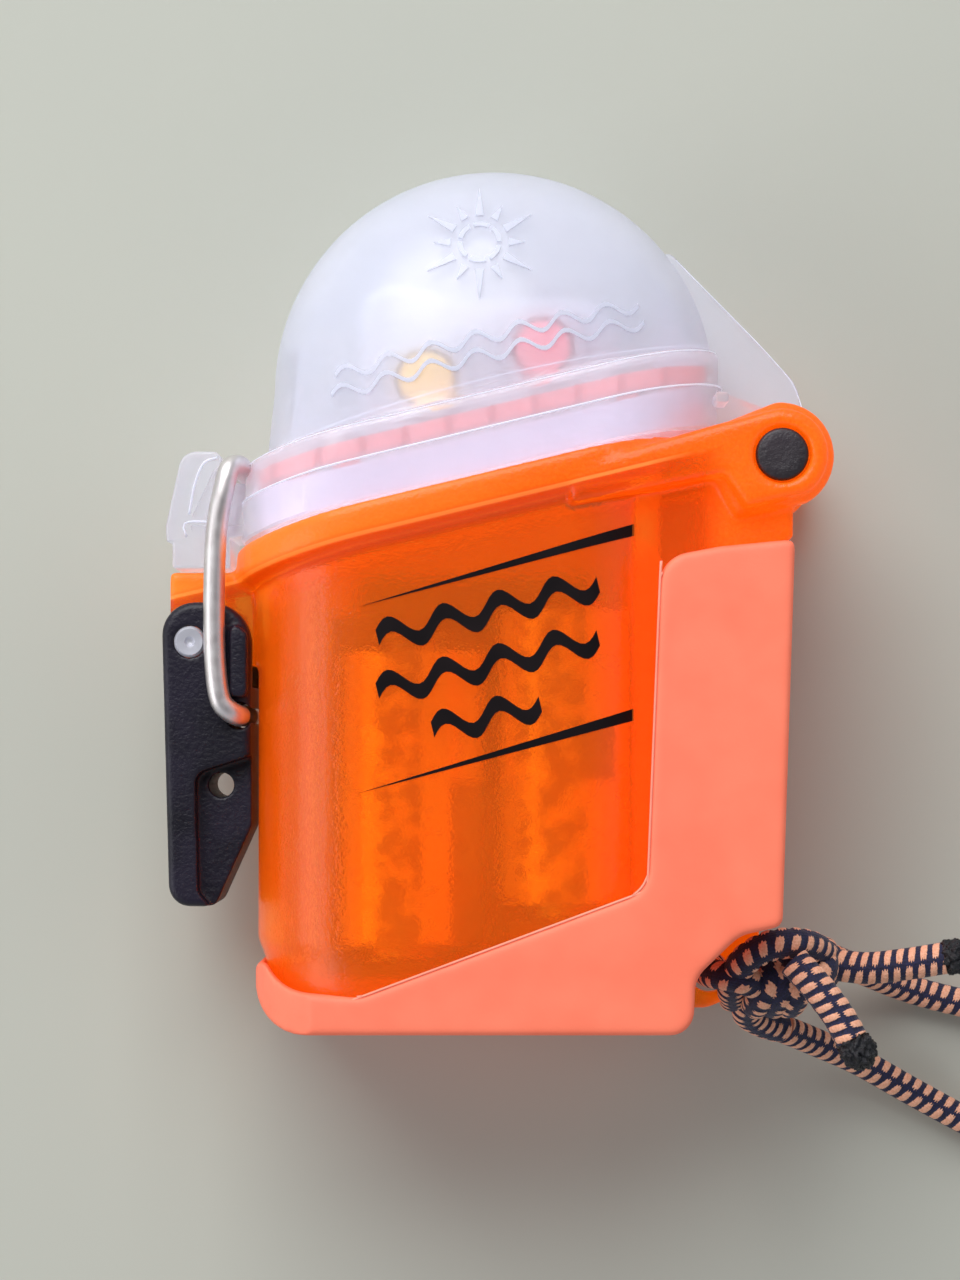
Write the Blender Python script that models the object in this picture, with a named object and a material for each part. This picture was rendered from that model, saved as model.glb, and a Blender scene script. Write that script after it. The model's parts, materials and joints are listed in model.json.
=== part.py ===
"""Emergency position beacon: a pocket GPS rescue radio in a latched, water-tight case.

The beacon lies on its back. +Z comes out of the front face, +Y runs up to the clear dome
and +X runs across to the hinge. The origin is under the middle of the beacon, on the surface
that it lies on. Sizes below are in millimetres; the scene itself is in metres.
"""
import math

import bmesh
import bpy
from mathutils import Matrix, Vector

MM = 0.001
GAP = 0.3  # clearance between neighbouring pieces

# Overall
DEPTH = 39.0
MIDDLE = DEPTH / 2
BOTTOM = -48.1
SLOPE = math.tan(math.radians(13.55))  # the rim climbs towards the hinge
RIM_HEIGHT = 11.96  # height of the rim's top edge on the centre line

# Case body
BODY_LEFT = -26.0
BODY_RIGHT = 20.85
BODY_INSET = 1.8  # how far the walls sit behind the rim and the bumper, front and back
BODY_CORNER = 13.0
WALL = 2.0
PILLAR_INSET = 4.2
RIM_LEFT = -28.45
RIM_RIGHT = 24.0
RIM_BAND = 4.5
BUMPER_FRONT = DEPTH - 0.8

# Lid
SKIRT_LEFT = -27.8
SKIRT_RIGHT = 25.7
SKIRT_INSET = 0.9
SKIRT_HEIGHT = 9.4
SKIRT_CORNER = 12.5
LID_WALL = 1.7
DOME_CENTRE = (0.35, 23.3)
DOME_RADIUS = 24.8
DOME_HALF_DEPTH = 17.5
DOME_BASE_RADIUS = 26.2

# Hinge on the right
HINGE = (31.55, 14.9)
EAR_RADIUS = 5.0
EAR_THICKNESS = 8.7
KNUCKLE_RADIUS = 4.6
PIN_RADIUS = 1.5
CAP_RADIUS = 2.85
CAP_THICKNESS = 1.5

# Latch on the left
LEVER_PIN = (-33.35, -5.25)
BAIL_PIVOT = (-27.95, -13.4)
BAIL_BAR = (-28.0, 14.3)
LEVER_HALF_DEPTH = 10.0
LUG_HALF_DEPTH = 5.9
WIRE_RADIUS = 1.2
BAIL_HALF_DEPTH = LEVER_HALF_DEPTH + GAP + WIRE_RADIUS

# Electronics
CORE_BACK = 9.0
CORE_FRONT = 29.0
CORE_WALL = 1.4
BUTTON_RADIUS = 3.2
YELLOW_BUTTON = (-7.1, 23.75)
RED_BUTTON = (5.65, 27.25)
BATTERY_RADIUS = 8.5
BATTERY_LENGTH = 34.0
BATTERY_LEFT = (-9.0, -39.0)  # centre line and lower end
BATTERY_RIGHT = (9.2, -34.4)

# Lanyard
CORD_RADIUS = 1.75
TAIL_RADIUS = 1.9
LANYARD_HOLE = (24.6, -42.2)
WEB_HALF_DEPTH = 2.0


# ---------------------------------------------------------------- outlines

def rim_height(x):
    """Height of the rim's slanted top edge at x."""
    return RIM_HEIGHT + SLOPE * x


def rounded(corners, steps=5):
    """An outline with each (x, y, radius) corner turned into an arc."""
    outline = []
    for index, (x, y, radius) in enumerate(corners):
        corner = Vector((x, y))
        if radius == 0:
            outline.append(corner)
            continue
        before = (Vector(corners[index - 1][:2]) - corner).normalized()
        after = (Vector(corners[(index + 1) % len(corners)][:2]) - corner).normalized()
        half_angle = before.angle(after) / 2
        centre = corner + (before + after).normalized() * radius / math.sin(half_angle)
        start = corner + before * radius / math.tan(half_angle) - centre
        sweep = start.angle_signed(corner + after * radius / math.tan(half_angle) - centre)
        for step in range(steps + 1):
            turn = Matrix.Rotation(-sweep * step / steps, 2)
            outline.append(centre + turn @ start)
    return outline


def grown(corners, amount):
    """The same (x, y, radius) corners with every side of a clockwise outline moved outwards."""
    moved = []
    for index, (x, y, radius) in enumerate(corners):
        corner = Vector((x, y))
        coming = (corner - Vector(corners[index - 1][:2])).normalized()
        going = (Vector(corners[(index + 1) % len(corners)][:2]) - corner).normalized()
        out_coming = Vector((-coming.y, coming.x))
        out_going = Vector((-going.y, going.x))
        shift = (out_coming + out_going) / (1 + out_coming.dot(out_going))
        convex = coming.cross(going) < 0
        new_radius = radius + amount if convex else max(radius - amount, 0)
        moved.append((x + shift.x * amount, y + shift.y * amount, new_radius if radius else 0))
    return moved


def rectangle(left, right, low, high, radius):
    """Clockwise (x, y, radius) corners of a rectangle."""
    return [(left, low, radius), (left, high, radius), (right, high, radius), (right, low, radius)]


def arc(centre, radius, start, end, steps):
    """Points on a circle from one angle to another, in degrees."""
    points = []
    for step in range(steps + 1):
        angle = math.radians(start + (end - start) * step / steps)
        points.append((centre[0] + radius * math.cos(angle), centre[1] + radius * math.sin(angle)))
    return points


def smooth_route(points, spacing):
    """Evenly spaced points on a smooth curve through the route's own points."""
    route = [Vector(p) for p in points]
    route = [2 * route[0] - route[1]] + route + [2 * route[-1] - route[-2]]
    dense = []
    for a, b, c, d in zip(route, route[1:], route[2:], route[3:]):
        for step in range(24):
            t = step / 24
            dense.append(0.5 * (2 * b + (c - a) * t + (2 * a - 5 * b + 4 * c - d) * t * t
                                + (3 * b - a - 3 * c + d) * t ** 3))
    dense.append(route[-2])
    lengths = [0.0]
    for a, b in zip(dense, dense[1:]):
        lengths.append(lengths[-1] + (b - a).length)
    count = max(round(lengths[-1] / spacing), 2)
    even, at = [], 0
    for step in range(count + 1):
        target = lengths[-1] * step / count
        while at < len(dense) - 2 and lengths[at + 1] < target:
            at += 1
        part = (target - lengths[at]) / (lengths[at + 1] - lengths[at])
        even.append(dense[at].lerp(dense[at + 1], part))
    return even


# ---------------------------------------------------------------- solids

def link_mesh(name, bm):
    """Makes an object in the cutters collection from a bmesh built in millimetres."""
    bmesh.ops.scale(bm, vec=(MM, MM, MM), verts=bm.verts)
    bmesh.ops.remove_doubles(bm, verts=bm.verts, dist=0.00001)
    bmesh.ops.recalc_face_normals(bm, faces=bm.faces)
    mesh = bpy.data.meshes.new(name)
    bm.to_mesh(mesh)
    bm.free()
    solid = bpy.data.objects.new(name, mesh)
    cutters.objects.link(solid)
    solid.hide_render = True
    solid.display_type = "WIRE"
    return solid


def mesh_from_curve(name, curve, placing=None):
    """Turns a curve built in millimetres into a closed mesh object."""
    holder = bpy.data.objects.new(name + "_curve", curve)
    cutters.objects.link(holder)
    depsgraph = bpy.context.evaluated_depsgraph_get()
    mesh = bpy.data.meshes.new_from_object(holder.evaluated_get(depsgraph))
    bpy.data.objects.remove(holder)
    bm = bmesh.new()
    bm.from_mesh(mesh)
    bpy.data.meshes.remove(mesh)
    bmesh.ops.remove_doubles(bm, verts=bm.verts, dist=0.005)
    if placing:
        bmesh.ops.transform(bm, matrix=placing, verts=bm.verts)
    return link_mesh(name, bm)


def outline_solid(name, outline, low, high, edge=0.0, along="Z"):
    """A flat outline given thickness along Z, or along Y for an (x, z) outline.

    edge rounds the rims of both faces.
    """
    curve = bpy.data.curves.new(name, "CURVE")
    curve.dimensions = "2D"
    curve.fill_mode = "BOTH"
    curve.extrude = (high - low) / 2 - edge
    curve.bevel_depth = edge
    curve.bevel_resolution = 2
    curve.offset = -edge
    spline = curve.splines.new("POLY")
    spline.points.add(len(outline) - 1)
    for point, (x, y) in zip(spline.points, outline):
        point.co = (x, y, 0, 1)
    spline.use_cyclic_u = True
    placing = Matrix.Translation((0, 0, (low + high) / 2))
    if along == "Y":
        swap = Matrix(((1, 0, 0, 0), (0, 0, 1, 0), (0, 1, 0, 0), (0, 0, 0, 1)))
        placing = swap @ placing
    return mesh_from_curve(name, curve, placing)


def slanted_solid(name, outline, low, high, edge=0.0):
    """An (x, z) outline between two planes parallel to the rim, at heights above its top edge."""
    solid = outline_solid(name, outline, low, high, edge, along="Y")
    lean = Matrix.Identity(4)
    lean[1][0] = SLOPE
    solid.data.transform(Matrix.Translation((0, RIM_HEIGHT * MM, 0)) @ lean)
    return solid


def cylinder(name, centre, radius, low, high, along="Z", sides=32, tip=None):
    """A round bar along Z at (x, y), or along Y at (x, z). tip is its radius at the high end."""
    bm = bmesh.new()
    bmesh.ops.create_cone(bm, cap_ends=True, segments=sides, radius1=radius,
                          radius2=radius if tip is None else tip, depth=high - low)
    if along == "Z":
        placing = Matrix.Translation((centre[0], centre[1], (low + high) / 2))
    else:
        placing = Matrix.Translation((centre[0], (low + high) / 2, centre[1]))
        placing = placing @ Matrix.Rotation(math.radians(-90), 4, "X")
    bmesh.ops.transform(bm, matrix=placing, verts=bm.verts)
    return link_mesh(name, bm)


def block(name, low, high):
    """A rectangular block between two corners."""
    bm = bmesh.new()
    bmesh.ops.create_cube(bm, size=1)
    size = [b - a for a, b in zip(low, high)]
    middle = [(a + b) / 2 for a, b in zip(low, high)]
    bmesh.ops.scale(bm, vec=size, verts=bm.verts)
    bmesh.ops.translate(bm, vec=middle, verts=bm.verts)
    return link_mesh(name, bm)


def ball(name, centre, radii, sides=24):
    """An ellipsoid with its own radius along each axis."""
    bm = bmesh.new()
    bmesh.ops.create_uvsphere(bm, u_segments=sides, v_segments=sides // 2, radius=1)
    bmesh.ops.scale(bm, vec=radii, verts=bm.verts)
    bmesh.ops.translate(bm, vec=centre, verts=bm.verts)
    return link_mesh(name, bm)


def tube(name, route, radius, resolution=2):
    """A round wire or cord with closed ends along a list of points."""
    curve = bpy.data.curves.new(name, "CURVE")
    curve.dimensions = "3D"
    curve.bevel_depth = radius
    curve.bevel_resolution = resolution
    curve.use_fill_caps = True
    spline = curve.splines.new("POLY")
    spline.points.add(len(route) - 1)
    for point, place in zip(spline.points, route):
        point.co = (*place, 1)
    return mesh_from_curve(name, curve)


def combine(target, operation, *tools):
    """Adds exact Booleans with each tool, in order."""
    for tool in tools:
        modifier = target.modifiers.new(f"{operation.lower()}_{tool.name}", "BOOLEAN")
        modifier.operation = operation
        modifier.object = tool
        modifier.solver = "EXACT"
    return target


def as_part(solid, material, origin=None):
    """Moves a finished solid into the beacon's collection, with its material and its origin."""
    cutters.objects.unlink(solid)
    beacon.objects.link(solid)
    solid.hide_render = False
    solid.display_type = "TEXTURED"
    solid.data.materials.clear()
    solid.data.materials.append(material)
    solid.data.shade_smooth()
    solid.data.set_sharp_from_angle(angle=math.radians(35))
    if origin:
        place = Vector((origin[0], origin[1], MIDDLE)) * MM
        solid.data.transform(Matrix.Translation(-place))
        solid.location = place
    return solid


def plastic(name, colour, roughness, metallic=0.0):
    """A Principled material."""
    material = bpy.data.materials.new(name)
    material.use_nodes = True
    shader = material.node_tree.nodes["Principled BSDF"]
    shader.inputs["Base Color"].default_value = (*colour, 1)
    shader.inputs["Roughness"].default_value = roughness
    shader.inputs["Metallic"].default_value = metallic
    return material


# ---------------------------------------------------------------- case

WEB_CORNERS = [(19.0, -34.0, 0), (30.0, -34.0, 0), (30.2, -38.4, 1.0), (28.0, -40.4, 1.5),
               (28.0, -44.6, 2.0), (24.2, -46.2, 1.5), (19.0, -46.2, 0)]
PILLAR_CORNERS = [(14.0, BOTTOM + 1.0, 0), (14.0, 13.0, 0), (33.0, 17.0, 0), (33.0, 6.0, 0),
                  (32.0, 5.4, 0), (30.6, -35.7, 1.0), (26.4, -36.5, 3.5), (21.3, -41.2, 2.5),
                  (BODY_RIGHT, BOTTOM + 1.0, 1.0)]


def body_outside(name, extra=0.0):
    """The oval compartment joined to the flat pillar that carries the hinge."""
    section = rectangle(BODY_LEFT, BODY_RIGHT, BODY_INSET, DEPTH - BODY_INSET, BODY_CORNER)
    tube_part = outline_solid(name, rounded(grown(section, extra), 8), BOTTOM - 5, 25, along="Y")
    front_view = [(BODY_LEFT, BOTTOM + 1.0, 6.0), (BODY_LEFT, rim_height(BODY_LEFT) - 1, 3.5),
                  (BODY_RIGHT, rim_height(BODY_RIGHT) - 1, 3.5), (BODY_RIGHT, BOTTOM + 1.0, 3.1)]
    trim = outline_solid(name + "_trim", rounded(grown(front_view, extra), 6),
                         BODY_INSET - extra, DEPTH - BODY_INSET + extra, edge=3.0)
    pillar = outline_solid(name + "_pillar", rounded(grown(PILLAR_CORNERS, extra)),
                           PILLAR_INSET - extra, DEPTH - PILLAR_INSET + extra, edge=0.0)
    combine(tube_part, "INTERSECT", trim)
    return combine(tube_part, "UNION", pillar)


def hinge_ear(name, low, high):
    """One of the two ears that the rim runs into, rounded about the hinge pin."""
    tip = arc(HINGE, EAR_RADIUS, 95, -110, 14)
    root = [(25.5, 10.6), (20.5, 9.8), (17.0, rim_height(17.0) - RIM_BAND),
            (17.0, rim_height(17.0) - 0.2), (24.5, rim_height(24.5) - 0.3)]
    return outline_solid(name, tip + root, low, high, edge=0.6)


def lever_lug(name):
    """The lug on the left wall that the lever's fork straddles."""
    tip = arc(LEVER_PIN, 2.5, 180, 270, 5)
    root = [(-24.0, LEVER_PIN[1] - 2.5), (-24.0, 2.6), (LEVER_PIN[0] - 2.5, 2.6)]
    return outline_solid(name, tip + root, MIDDLE - LUG_HALF_DEPTH, MIDDLE + LUG_HALF_DEPTH)


def build_case(orange):
    """Translucent case: compartment, slanted rim, hinge ears, latch lug and lanyard web."""
    case = body_outside("case_shell")
    rim = rectangle(RIM_LEFT, RIM_RIGHT, 0, DEPTH, BODY_CORNER + 1.5)
    web = outline_solid("lanyard_web", rounded(WEB_CORNERS),
                        MIDDLE - WEB_HALF_DEPTH, MIDDLE + WEB_HALF_DEPTH)
    combine(case, "UNION",
            slanted_solid("rim_band", rounded(rim, 8), -RIM_BAND, -GAP / 2, edge=0.8),
            hinge_ear("ear_front", DEPTH - EAR_THICKNESS, DEPTH),
            hinge_ear("ear_back", 0, EAR_THICKNESS),
            lever_lug("latch_lug"), web)
    inside = rectangle(BODY_LEFT + WALL, BODY_RIGHT - WALL, BODY_INSET + WALL,
                       DEPTH - BODY_INSET - WALL, BODY_CORNER - WALL)
    cavity = outline_solid("compartment", rounded(inside, 6), BOTTOM + 3.0, 30, along="Y")
    bores = [cylinder("hinge_bore", HINGE, PIN_RADIUS + GAP, -1, DEPTH + 1),
             cylinder("cap_seat_front", HINGE, CAP_RADIUS + GAP, DEPTH - CAP_THICKNESS - 0.7,
                      DEPTH + 1),
             cylinder("cap_seat_back", HINGE, CAP_RADIUS + GAP, -1, CAP_THICKNESS + 0.7),
             cylinder("knuckle_room", HINGE, KNUCKLE_RADIUS + 0.7, EAR_THICKNESS,
                      DEPTH - EAR_THICKNESS),
             block("strap_room", (24.8, rim_height(24.8) - RIM_BAND + 1.0, EAR_THICKNESS),
                   (40, 26, DEPTH - EAR_THICKNESS)),
             cylinder("lever_bore", LEVER_PIN, PIN_RADIUS + GAP, 0, DEPTH),
             cylinder("lanyard_hole", LANYARD_HOLE, 2.3, MIDDLE - 4, MIDDLE + 4)]
    return as_part(combine(case, "DIFFERENCE", cavity, *bores), orange)


def build_bumper(coral):
    """Soft overmould around the hinge side, the bottom and the lanyard notch."""
    outline = rounded([(-26.8, -40.8, 0.8), (-21.05, -43.9, 3.0), (-14.35, -43.95, 3.0),
                       (16.9, -32.4, 3.5), (18.4, 3.7, 3.5), (24.75, 4.9, 3.0),
                       (33.0, 5.7, 0.8), (31.55, -36.3, 1.2), (26.9, -37.3, 4.0),
                       (22.1, -41.9, 3.5), (21.85, BOTTOM, 2.6), (-26.8, BOTTOM, 5.6)])
    bumper = outline_solid("case_bumper", outline, 0, BUMPER_FRONT, edge=0.7)
    section = rectangle(BODY_LEFT - 0.8, 40, -2, DEPTH + 2, BODY_CORNER + 2.5)
    limit = outline_solid("bumper_limit", rounded(section, 8), BOTTOM - 5, 25, along="Y")
    web = outline_solid("web_room", rounded(grown(WEB_CORNERS, GAP)),
                        MIDDLE - WEB_HALF_DEPTH - GAP, MIDDLE + WEB_HALF_DEPTH + GAP)
    combine(bumper, "INTERSECT", limit)
    return as_part(combine(bumper, "DIFFERENCE", body_outside("body_room", GAP), web), coral)


# ---------------------------------------------------------------- lid

def dome_solid(name, shrink):
    """A half ellipsoid on a short flared skirt, as a solid."""
    radius = DOME_RADIUS - shrink
    quarter = [(radius * math.sin(angle), radius * math.cos(angle))
               for angle in (math.pi / 2 * step / 12 for step in range(13))]
    profile = quarter + [(DOME_BASE_RADIUS - shrink, -13.0), (0, -13.0)]
    bm = bmesh.new()
    verts = [bm.verts.new((x, y, 0)) for x, y in profile]
    for a, b in zip(verts, verts[1:]):
        bm.edges.new((a, b))
    bmesh.ops.spin(bm, geom=bm.verts[:] + bm.edges[:], cent=(0, 0, 0), axis=(0, 1, 0),
                   angle=math.tau, steps=40)
    bmesh.ops.remove_doubles(bm, verts=bm.verts, dist=0.001)
    flatten = (DOME_HALF_DEPTH - shrink) / radius
    bmesh.ops.scale(bm, vec=(1, 1, flatten), verts=bm.verts)
    bmesh.ops.translate(bm, vec=(*DOME_CENTRE, MIDDLE), verts=bm.verts)
    base = rounded(rectangle(-35, 35, -5, 45, 0))
    return combine(link_mesh(name, bm), "DIFFERENCE", slanted_solid(name + "_base", base, -40, 5))


def skirt_outline(inset):
    """Front-to-back section of the lid's skirt, moved inwards by inset."""
    corners = rectangle(SKIRT_LEFT + inset, SKIRT_RIGHT - inset, SKIRT_INSET + inset,
                        DEPTH - SKIRT_INSET - inset, SKIRT_CORNER - inset)
    return rounded(corners, 6)


def latch_hook(name):
    """The block on the lid's left end whose horn holds the wire bail's bar."""
    outline = rounded([(-35.85, 2.9, 0.6), (-36.1, 7.3, 1.0), (-34.2, 15.9, 1.6),
                       (-30.2, 15.9, 0.9), (-29.4, 12.5, 1.0), (-27.0, 12.3, 0),
                       (-27.0, 6.6, 0), (-28.9, 6.2, 0), (-28.9, 2.9, 0)], 3)
    return outline_solid(name, outline, MIDDLE - 9.0, MIDDLE + 9.0, edge=0.25)


def build_lid(clear):
    """Clear dome and skirt, with the hinge knuckle, its fin and the latch hook."""
    lid = dome_solid("lid_dome", 0)
    fin_outline = rounded([(19.0, 22.0, 0), (18.4, 38.6, 0), (20.3, 38.9, 1.0), (34.6, 24.0, 5.0),
                           (36.1, 14.9, 0), (31.5, 14.9, 0), (27.0, 20.0, 0)], 3)
    strap = outline_solid("hinge_strap", rounded([(24.8, 18.6, 0), (24.8, 22.6, 0),
                                                  (33.0, 19.45, 0), (31.5, 14.9, 0),
                                                  (28.2, 15.5, 0)]),
                          EAR_THICKNESS + GAP, DEPTH - EAR_THICKNESS - GAP)
    thumb_rest = ball("thumb_rest", (-24.0, 22.6, MIDDLE), (3.9, 3.4, 6.0), 16)
    skirt = slanted_solid("lid_skirt", skirt_outline(0), GAP / 2, SKIRT_HEIGHT, edge=0.4)
    combine(lid, "UNION", skirt, strap, thumb_rest, latch_hook("latch_hook"),
            outline_solid("hinge_fin", fin_outline, MIDDLE - 1.2, MIDDLE + 1.2),
            cylinder("knuckle", HINGE, KNUCKLE_RADIUS, EAR_THICKNESS + GAP,
                     DEPTH - EAR_THICKNESS - GAP, sides=28))
    room = slanted_solid("skirt_room", skirt_outline(LID_WALL), -6, SKIRT_HEIGHT - 1.3)
    bore = cylinder("knuckle_bore", HINGE, PIN_RADIUS + GAP, 0, DEPTH)
    wire_room, reach = WIRE_RADIUS + GAP, BAIL_HALF_DEPTH + 1.5
    bar_x, bar_y = BAIL_BAR
    groove = cylinder("bar_groove", BAIL_BAR, wire_room, MIDDLE - reach, MIDDLE + reach, sides=24)
    entry = block("bar_entry", (bar_x - wire_room, bar_y, MIDDLE - reach),
                  (bar_x + wire_room, bar_y + 6, MIDDLE + reach))
    combine(lid, "DIFFERENCE", groove, entry, dome_solid("dome_room", LID_WALL), room, bore)
    return as_part(lid, clear, HINGE)


def build_gasket(red):
    """Flat ring under the lid's shoulder, pressed on the core's flange."""
    ring = slanted_solid("lid_gasket", skirt_outline(LID_WALL + GAP), 5.8, 7.8)
    opening = slanted_solid("gasket_opening", skirt_outline(LID_WALL + 2.9), 5, 9)
    return as_part(combine(ring, "DIFFERENCE", opening), red, HINGE)


def build_hinge_pin(steel, black):
    """Steel pin through both ears and the knuckle, with a black plug over each end."""
    inner = CAP_THICKNESS + 1.0
    as_part(cylinder("hinge_pin", HINGE, PIN_RADIUS, inner, DEPTH - inner), steel)
    front = DEPTH - 0.35
    as_part(cylinder("hinge_cap_front", HINGE, CAP_RADIUS, front - CAP_THICKNESS, front), black)
    back = 0.35
    as_part(cylinder("hinge_cap_back", HINGE, CAP_RADIUS, back, back + CAP_THICKNESS), black)


# ---------------------------------------------------------------- latch

def build_lever(black):
    """Black lever: a fork over the case lug, a spine and a recessed web with a hole."""
    back, front = MIDDLE - LEVER_HALF_DEPTH, MIDDLE + LEVER_HALF_DEPTH
    outline = rounded([(-36.55, -0.85, 3.6), (-26.6, -0.85, 4.6), (-26.6, -25.7, 1.0),
                       (-30.6, -34.5, 1.0), (-35.6, -34.5, 2.4)])
    lever = outline_solid("latch_lever", outline, back, front, edge=0.6)
    guard = rounded([(-28.9, -2.6, 0.5), (-26.9, -4.4, 0.5), (-26.9, -11.4, 0.5),
                     (-28.9, -11.4, 0.5)], 3)
    combine(lever, "UNION", outline_solid("wire_guard", guard, back - 1.6, front + 1.6, edge=0.3))
    recess = rounded([(-24.0, -17.0, 0), (-32.75, -19.8, 1.6), (-32.4, -33.0, 1.2),
                      (-28.0, -38.0, 0), (-24.0, -38.0, 0)])
    recess_depth = 2.2
    slot_floor = LEVER_PIN[1] - 4.9
    half_slot = LUG_HALF_DEPTH + GAP
    slot = block("fork_slot", (-40, slot_floor, MIDDLE - half_slot), (-20, 4, MIDDLE + half_slot))
    combine(lever, "DIFFERENCE", slot,
            outline_solid("recess_front", recess, front - recess_depth, front + 1),
            outline_solid("recess_back", recess, back - 1, back + recess_depth),
            cylinder("lever_hole", (-29.95, -21.1), 1.4, 0, DEPTH, sides=24),
            cylinder("lever_pin_bore", LEVER_PIN, PIN_RADIUS + GAP, 0, DEPTH),
            cylinder("bail_bore", BAIL_PIVOT, WIRE_RADIUS + GAP, 0, DEPTH, sides=24))
    return as_part(lever, black, LEVER_PIN)


def build_latch_pin(steel):
    """Pin that the lever turns on."""
    low, high = MIDDLE - LEVER_HALF_DEPTH - 0.1, MIDDLE + LEVER_HALF_DEPTH + 0.1
    as_part(cylinder("latch_pin", LEVER_PIN, PIN_RADIUS, low, high, sides=24), steel)


def build_bail(steel):
    """Bowed spring-wire loop from the lever up to the lid's hook."""
    pivot_x, pivot_y = BAIL_PIVOT
    bar_x, bar_y = BAIL_BAR
    leg = BAIL_HALF_DEPTH
    half = [(pivot_x, pivot_y, leg - 3.8), (pivot_x, pivot_y, leg - 1.6),
            (pivot_x - 0.9, pivot_y + 0.5, leg - 0.3), (-29.9, -11.5, leg), (-30.45, -7.0, leg),
            (-30.55, 0.0, leg), (-30.3, 7.0, leg), (-29.5, 11.6, leg),
            (bar_x - 0.9, bar_y - 0.4, leg - 0.7), (bar_x, bar_y, leg - 2.8), (bar_x, bar_y, 3.0)]
    front = [(x, y, MIDDLE + z) for x, y, z in half]
    back = [(x, y, MIDDLE - z) for x, y, z in reversed(half)]
    as_part(tube("wire_bail", smooth_route(front + back, 1.7), WIRE_RADIUS), steel, BAIL_PIVOT)


# ---------------------------------------------------------------- electronics

def core_view(inset, base):
    """Front view of the core inside the dome, from base above the rim, with a raised left shoulder."""
    left, right, top = -14.5 + inset, 14.0 - inset, 32.8 - inset
    return rounded([(left, rim_height(left) + base, 0), (left, top + 2.8, 4.0), (-3.0, top, 4.0),
                    (right, top, 4.5 - inset), (right, rim_height(right) + base, 0)], 4)


def build_core(white):
    """White core cover: a flange on the case rim and a hollow box up inside the dome."""
    core = slanted_solid("core_housing", skirt_outline(LID_WALL + GAP), GAP / 2, 5.5)
    box = outline_solid("core_box", core_view(0, 3.0), CORE_BACK, CORE_FRONT, edge=1.5)
    collars = [cylinder(f"collar_{x:.0f}", (x, y), BUTTON_RADIUS + 1.5, CORE_FRONT - 1.0,
                        CORE_FRONT + 1.0, sides=28) for x, y in (YELLOW_BUTTON, RED_BUTTON)]
    holes = [cylinder(f"button_hole_{x:.0f}", (x, y), BUTTON_RADIUS + GAP, CORE_FRONT - 4,
                      CORE_FRONT + 3, sides=28) for x, y in (YELLOW_BUTTON, RED_BUTTON)]
    room = outline_solid("core_room", core_view(CORE_WALL, -3.0), CORE_BACK + CORE_WALL,
                         CORE_FRONT - CORE_WALL)
    lens_hole = cylinder("lens_hole", (6.0, MIDDLE), 2.5 + GAP, 28, 38, along="Y", sides=24)
    screw_holes = [cylinder(f"screw_hole_{x:.0f}", (x, MIDDLE), 1.1 + GAP, 0, 40, along="Y",
                            sides=16) for x in (-19.5, 18.0)]
    combine(core, "UNION", box, *collars)
    combine(core, "DIFFERENCE", room, *holes, lens_hole, *screw_holes)
    return as_part(core, white)


def build_button(name, place, colour):
    """A round button with a stem onto its switch."""
    cap = cylinder(name, place, BUTTON_RADIUS, CORE_FRONT - 1.2, CORE_FRONT + 2.6,
                   sides=28, tip=BUTTON_RADIUS - 0.5)
    stem = cylinder(name + "_stem", place, 1.3, CORE_FRONT - 5.0, CORE_FRONT - 0.5, sides=16)
    return as_part(combine(cap, "UNION", stem), colour, place)


def build_switch(name, place, metal):
    """A square tactile switch on the button board."""
    x, y = place
    base = block(name, (x - 3, y - 3, 20.9), (x + 3, y + 3, 22.3))
    plunger = cylinder(name + "_plunger", place, 1.3, 22.0, 22.9, sides=16)
    return as_part(combine(base, "UNION", plunger), metal)


def build_electronics(board, black, metal, ceramic, clear):
    """Boards, GPS patch, flash lens and plug inside the core and the case."""
    upper = rounded([(-12.5, 12.2, 0), (-12.5, 30.5, 2.0), (12.0, 30.5, 2.0), (12.0, 12.2, 0)], 3)
    as_part(outline_solid("button_board", upper, 19.0, 20.6), board)
    lower = rounded([(-15.5, -37.0, 1.0), (-15.5, 2.8, 1.0), (12.2, 2.8, 1.0), (12.2, -37.0, 1.0)], 3)
    as_part(outline_solid("radio_board", lower, 5.0, 6.6), board)
    as_part(block("gps_patch", (-6.0, 17.5, 14.2), (6.0, 29.5, 18.7)), ceramic)
    as_part(block("board_connector", (-6.0, -1.5, 6.9), (6.0, 2.0, 9.4)), black)
    lens = cylinder("strobe_lens", (6.0, MIDDLE), 2.5, 30.9, 35.2, along="Y", sides=24, tip=1.6)
    as_part(lens, clear)
    build_switch("yellow_switch", YELLOW_BUTTON, metal)
    build_switch("red_switch", RED_BUTTON, metal)


def build_cradle(black):
    """Tray behind the two cells, with a floor under each."""
    outline = [(-18.4, 7.4), (-18.4, MIDDLE)]
    for x, _ in (BATTERY_LEFT, BATTERY_RIGHT):
        outline += arc((x, MIDDLE), BATTERY_RADIUS + 0.35, 180, 360, 10)
    outline += [(18.55, MIDDLE), (18.3, 13.5), (14.8, 8.0)]
    cradle = outline_solid("battery_cradle", outline, -42.5, -2.0, along="Y")
    for x, low in (BATTERY_LEFT, BATTERY_RIGHT):
        floor = block(f"cradle_floor_{x:.0f}", (x - 7.0, -42.3, 9), (x + 7.0, low - 1.8, 26))
        combine(cradle, "UNION", floor)
    return as_part(cradle, black)


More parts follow.
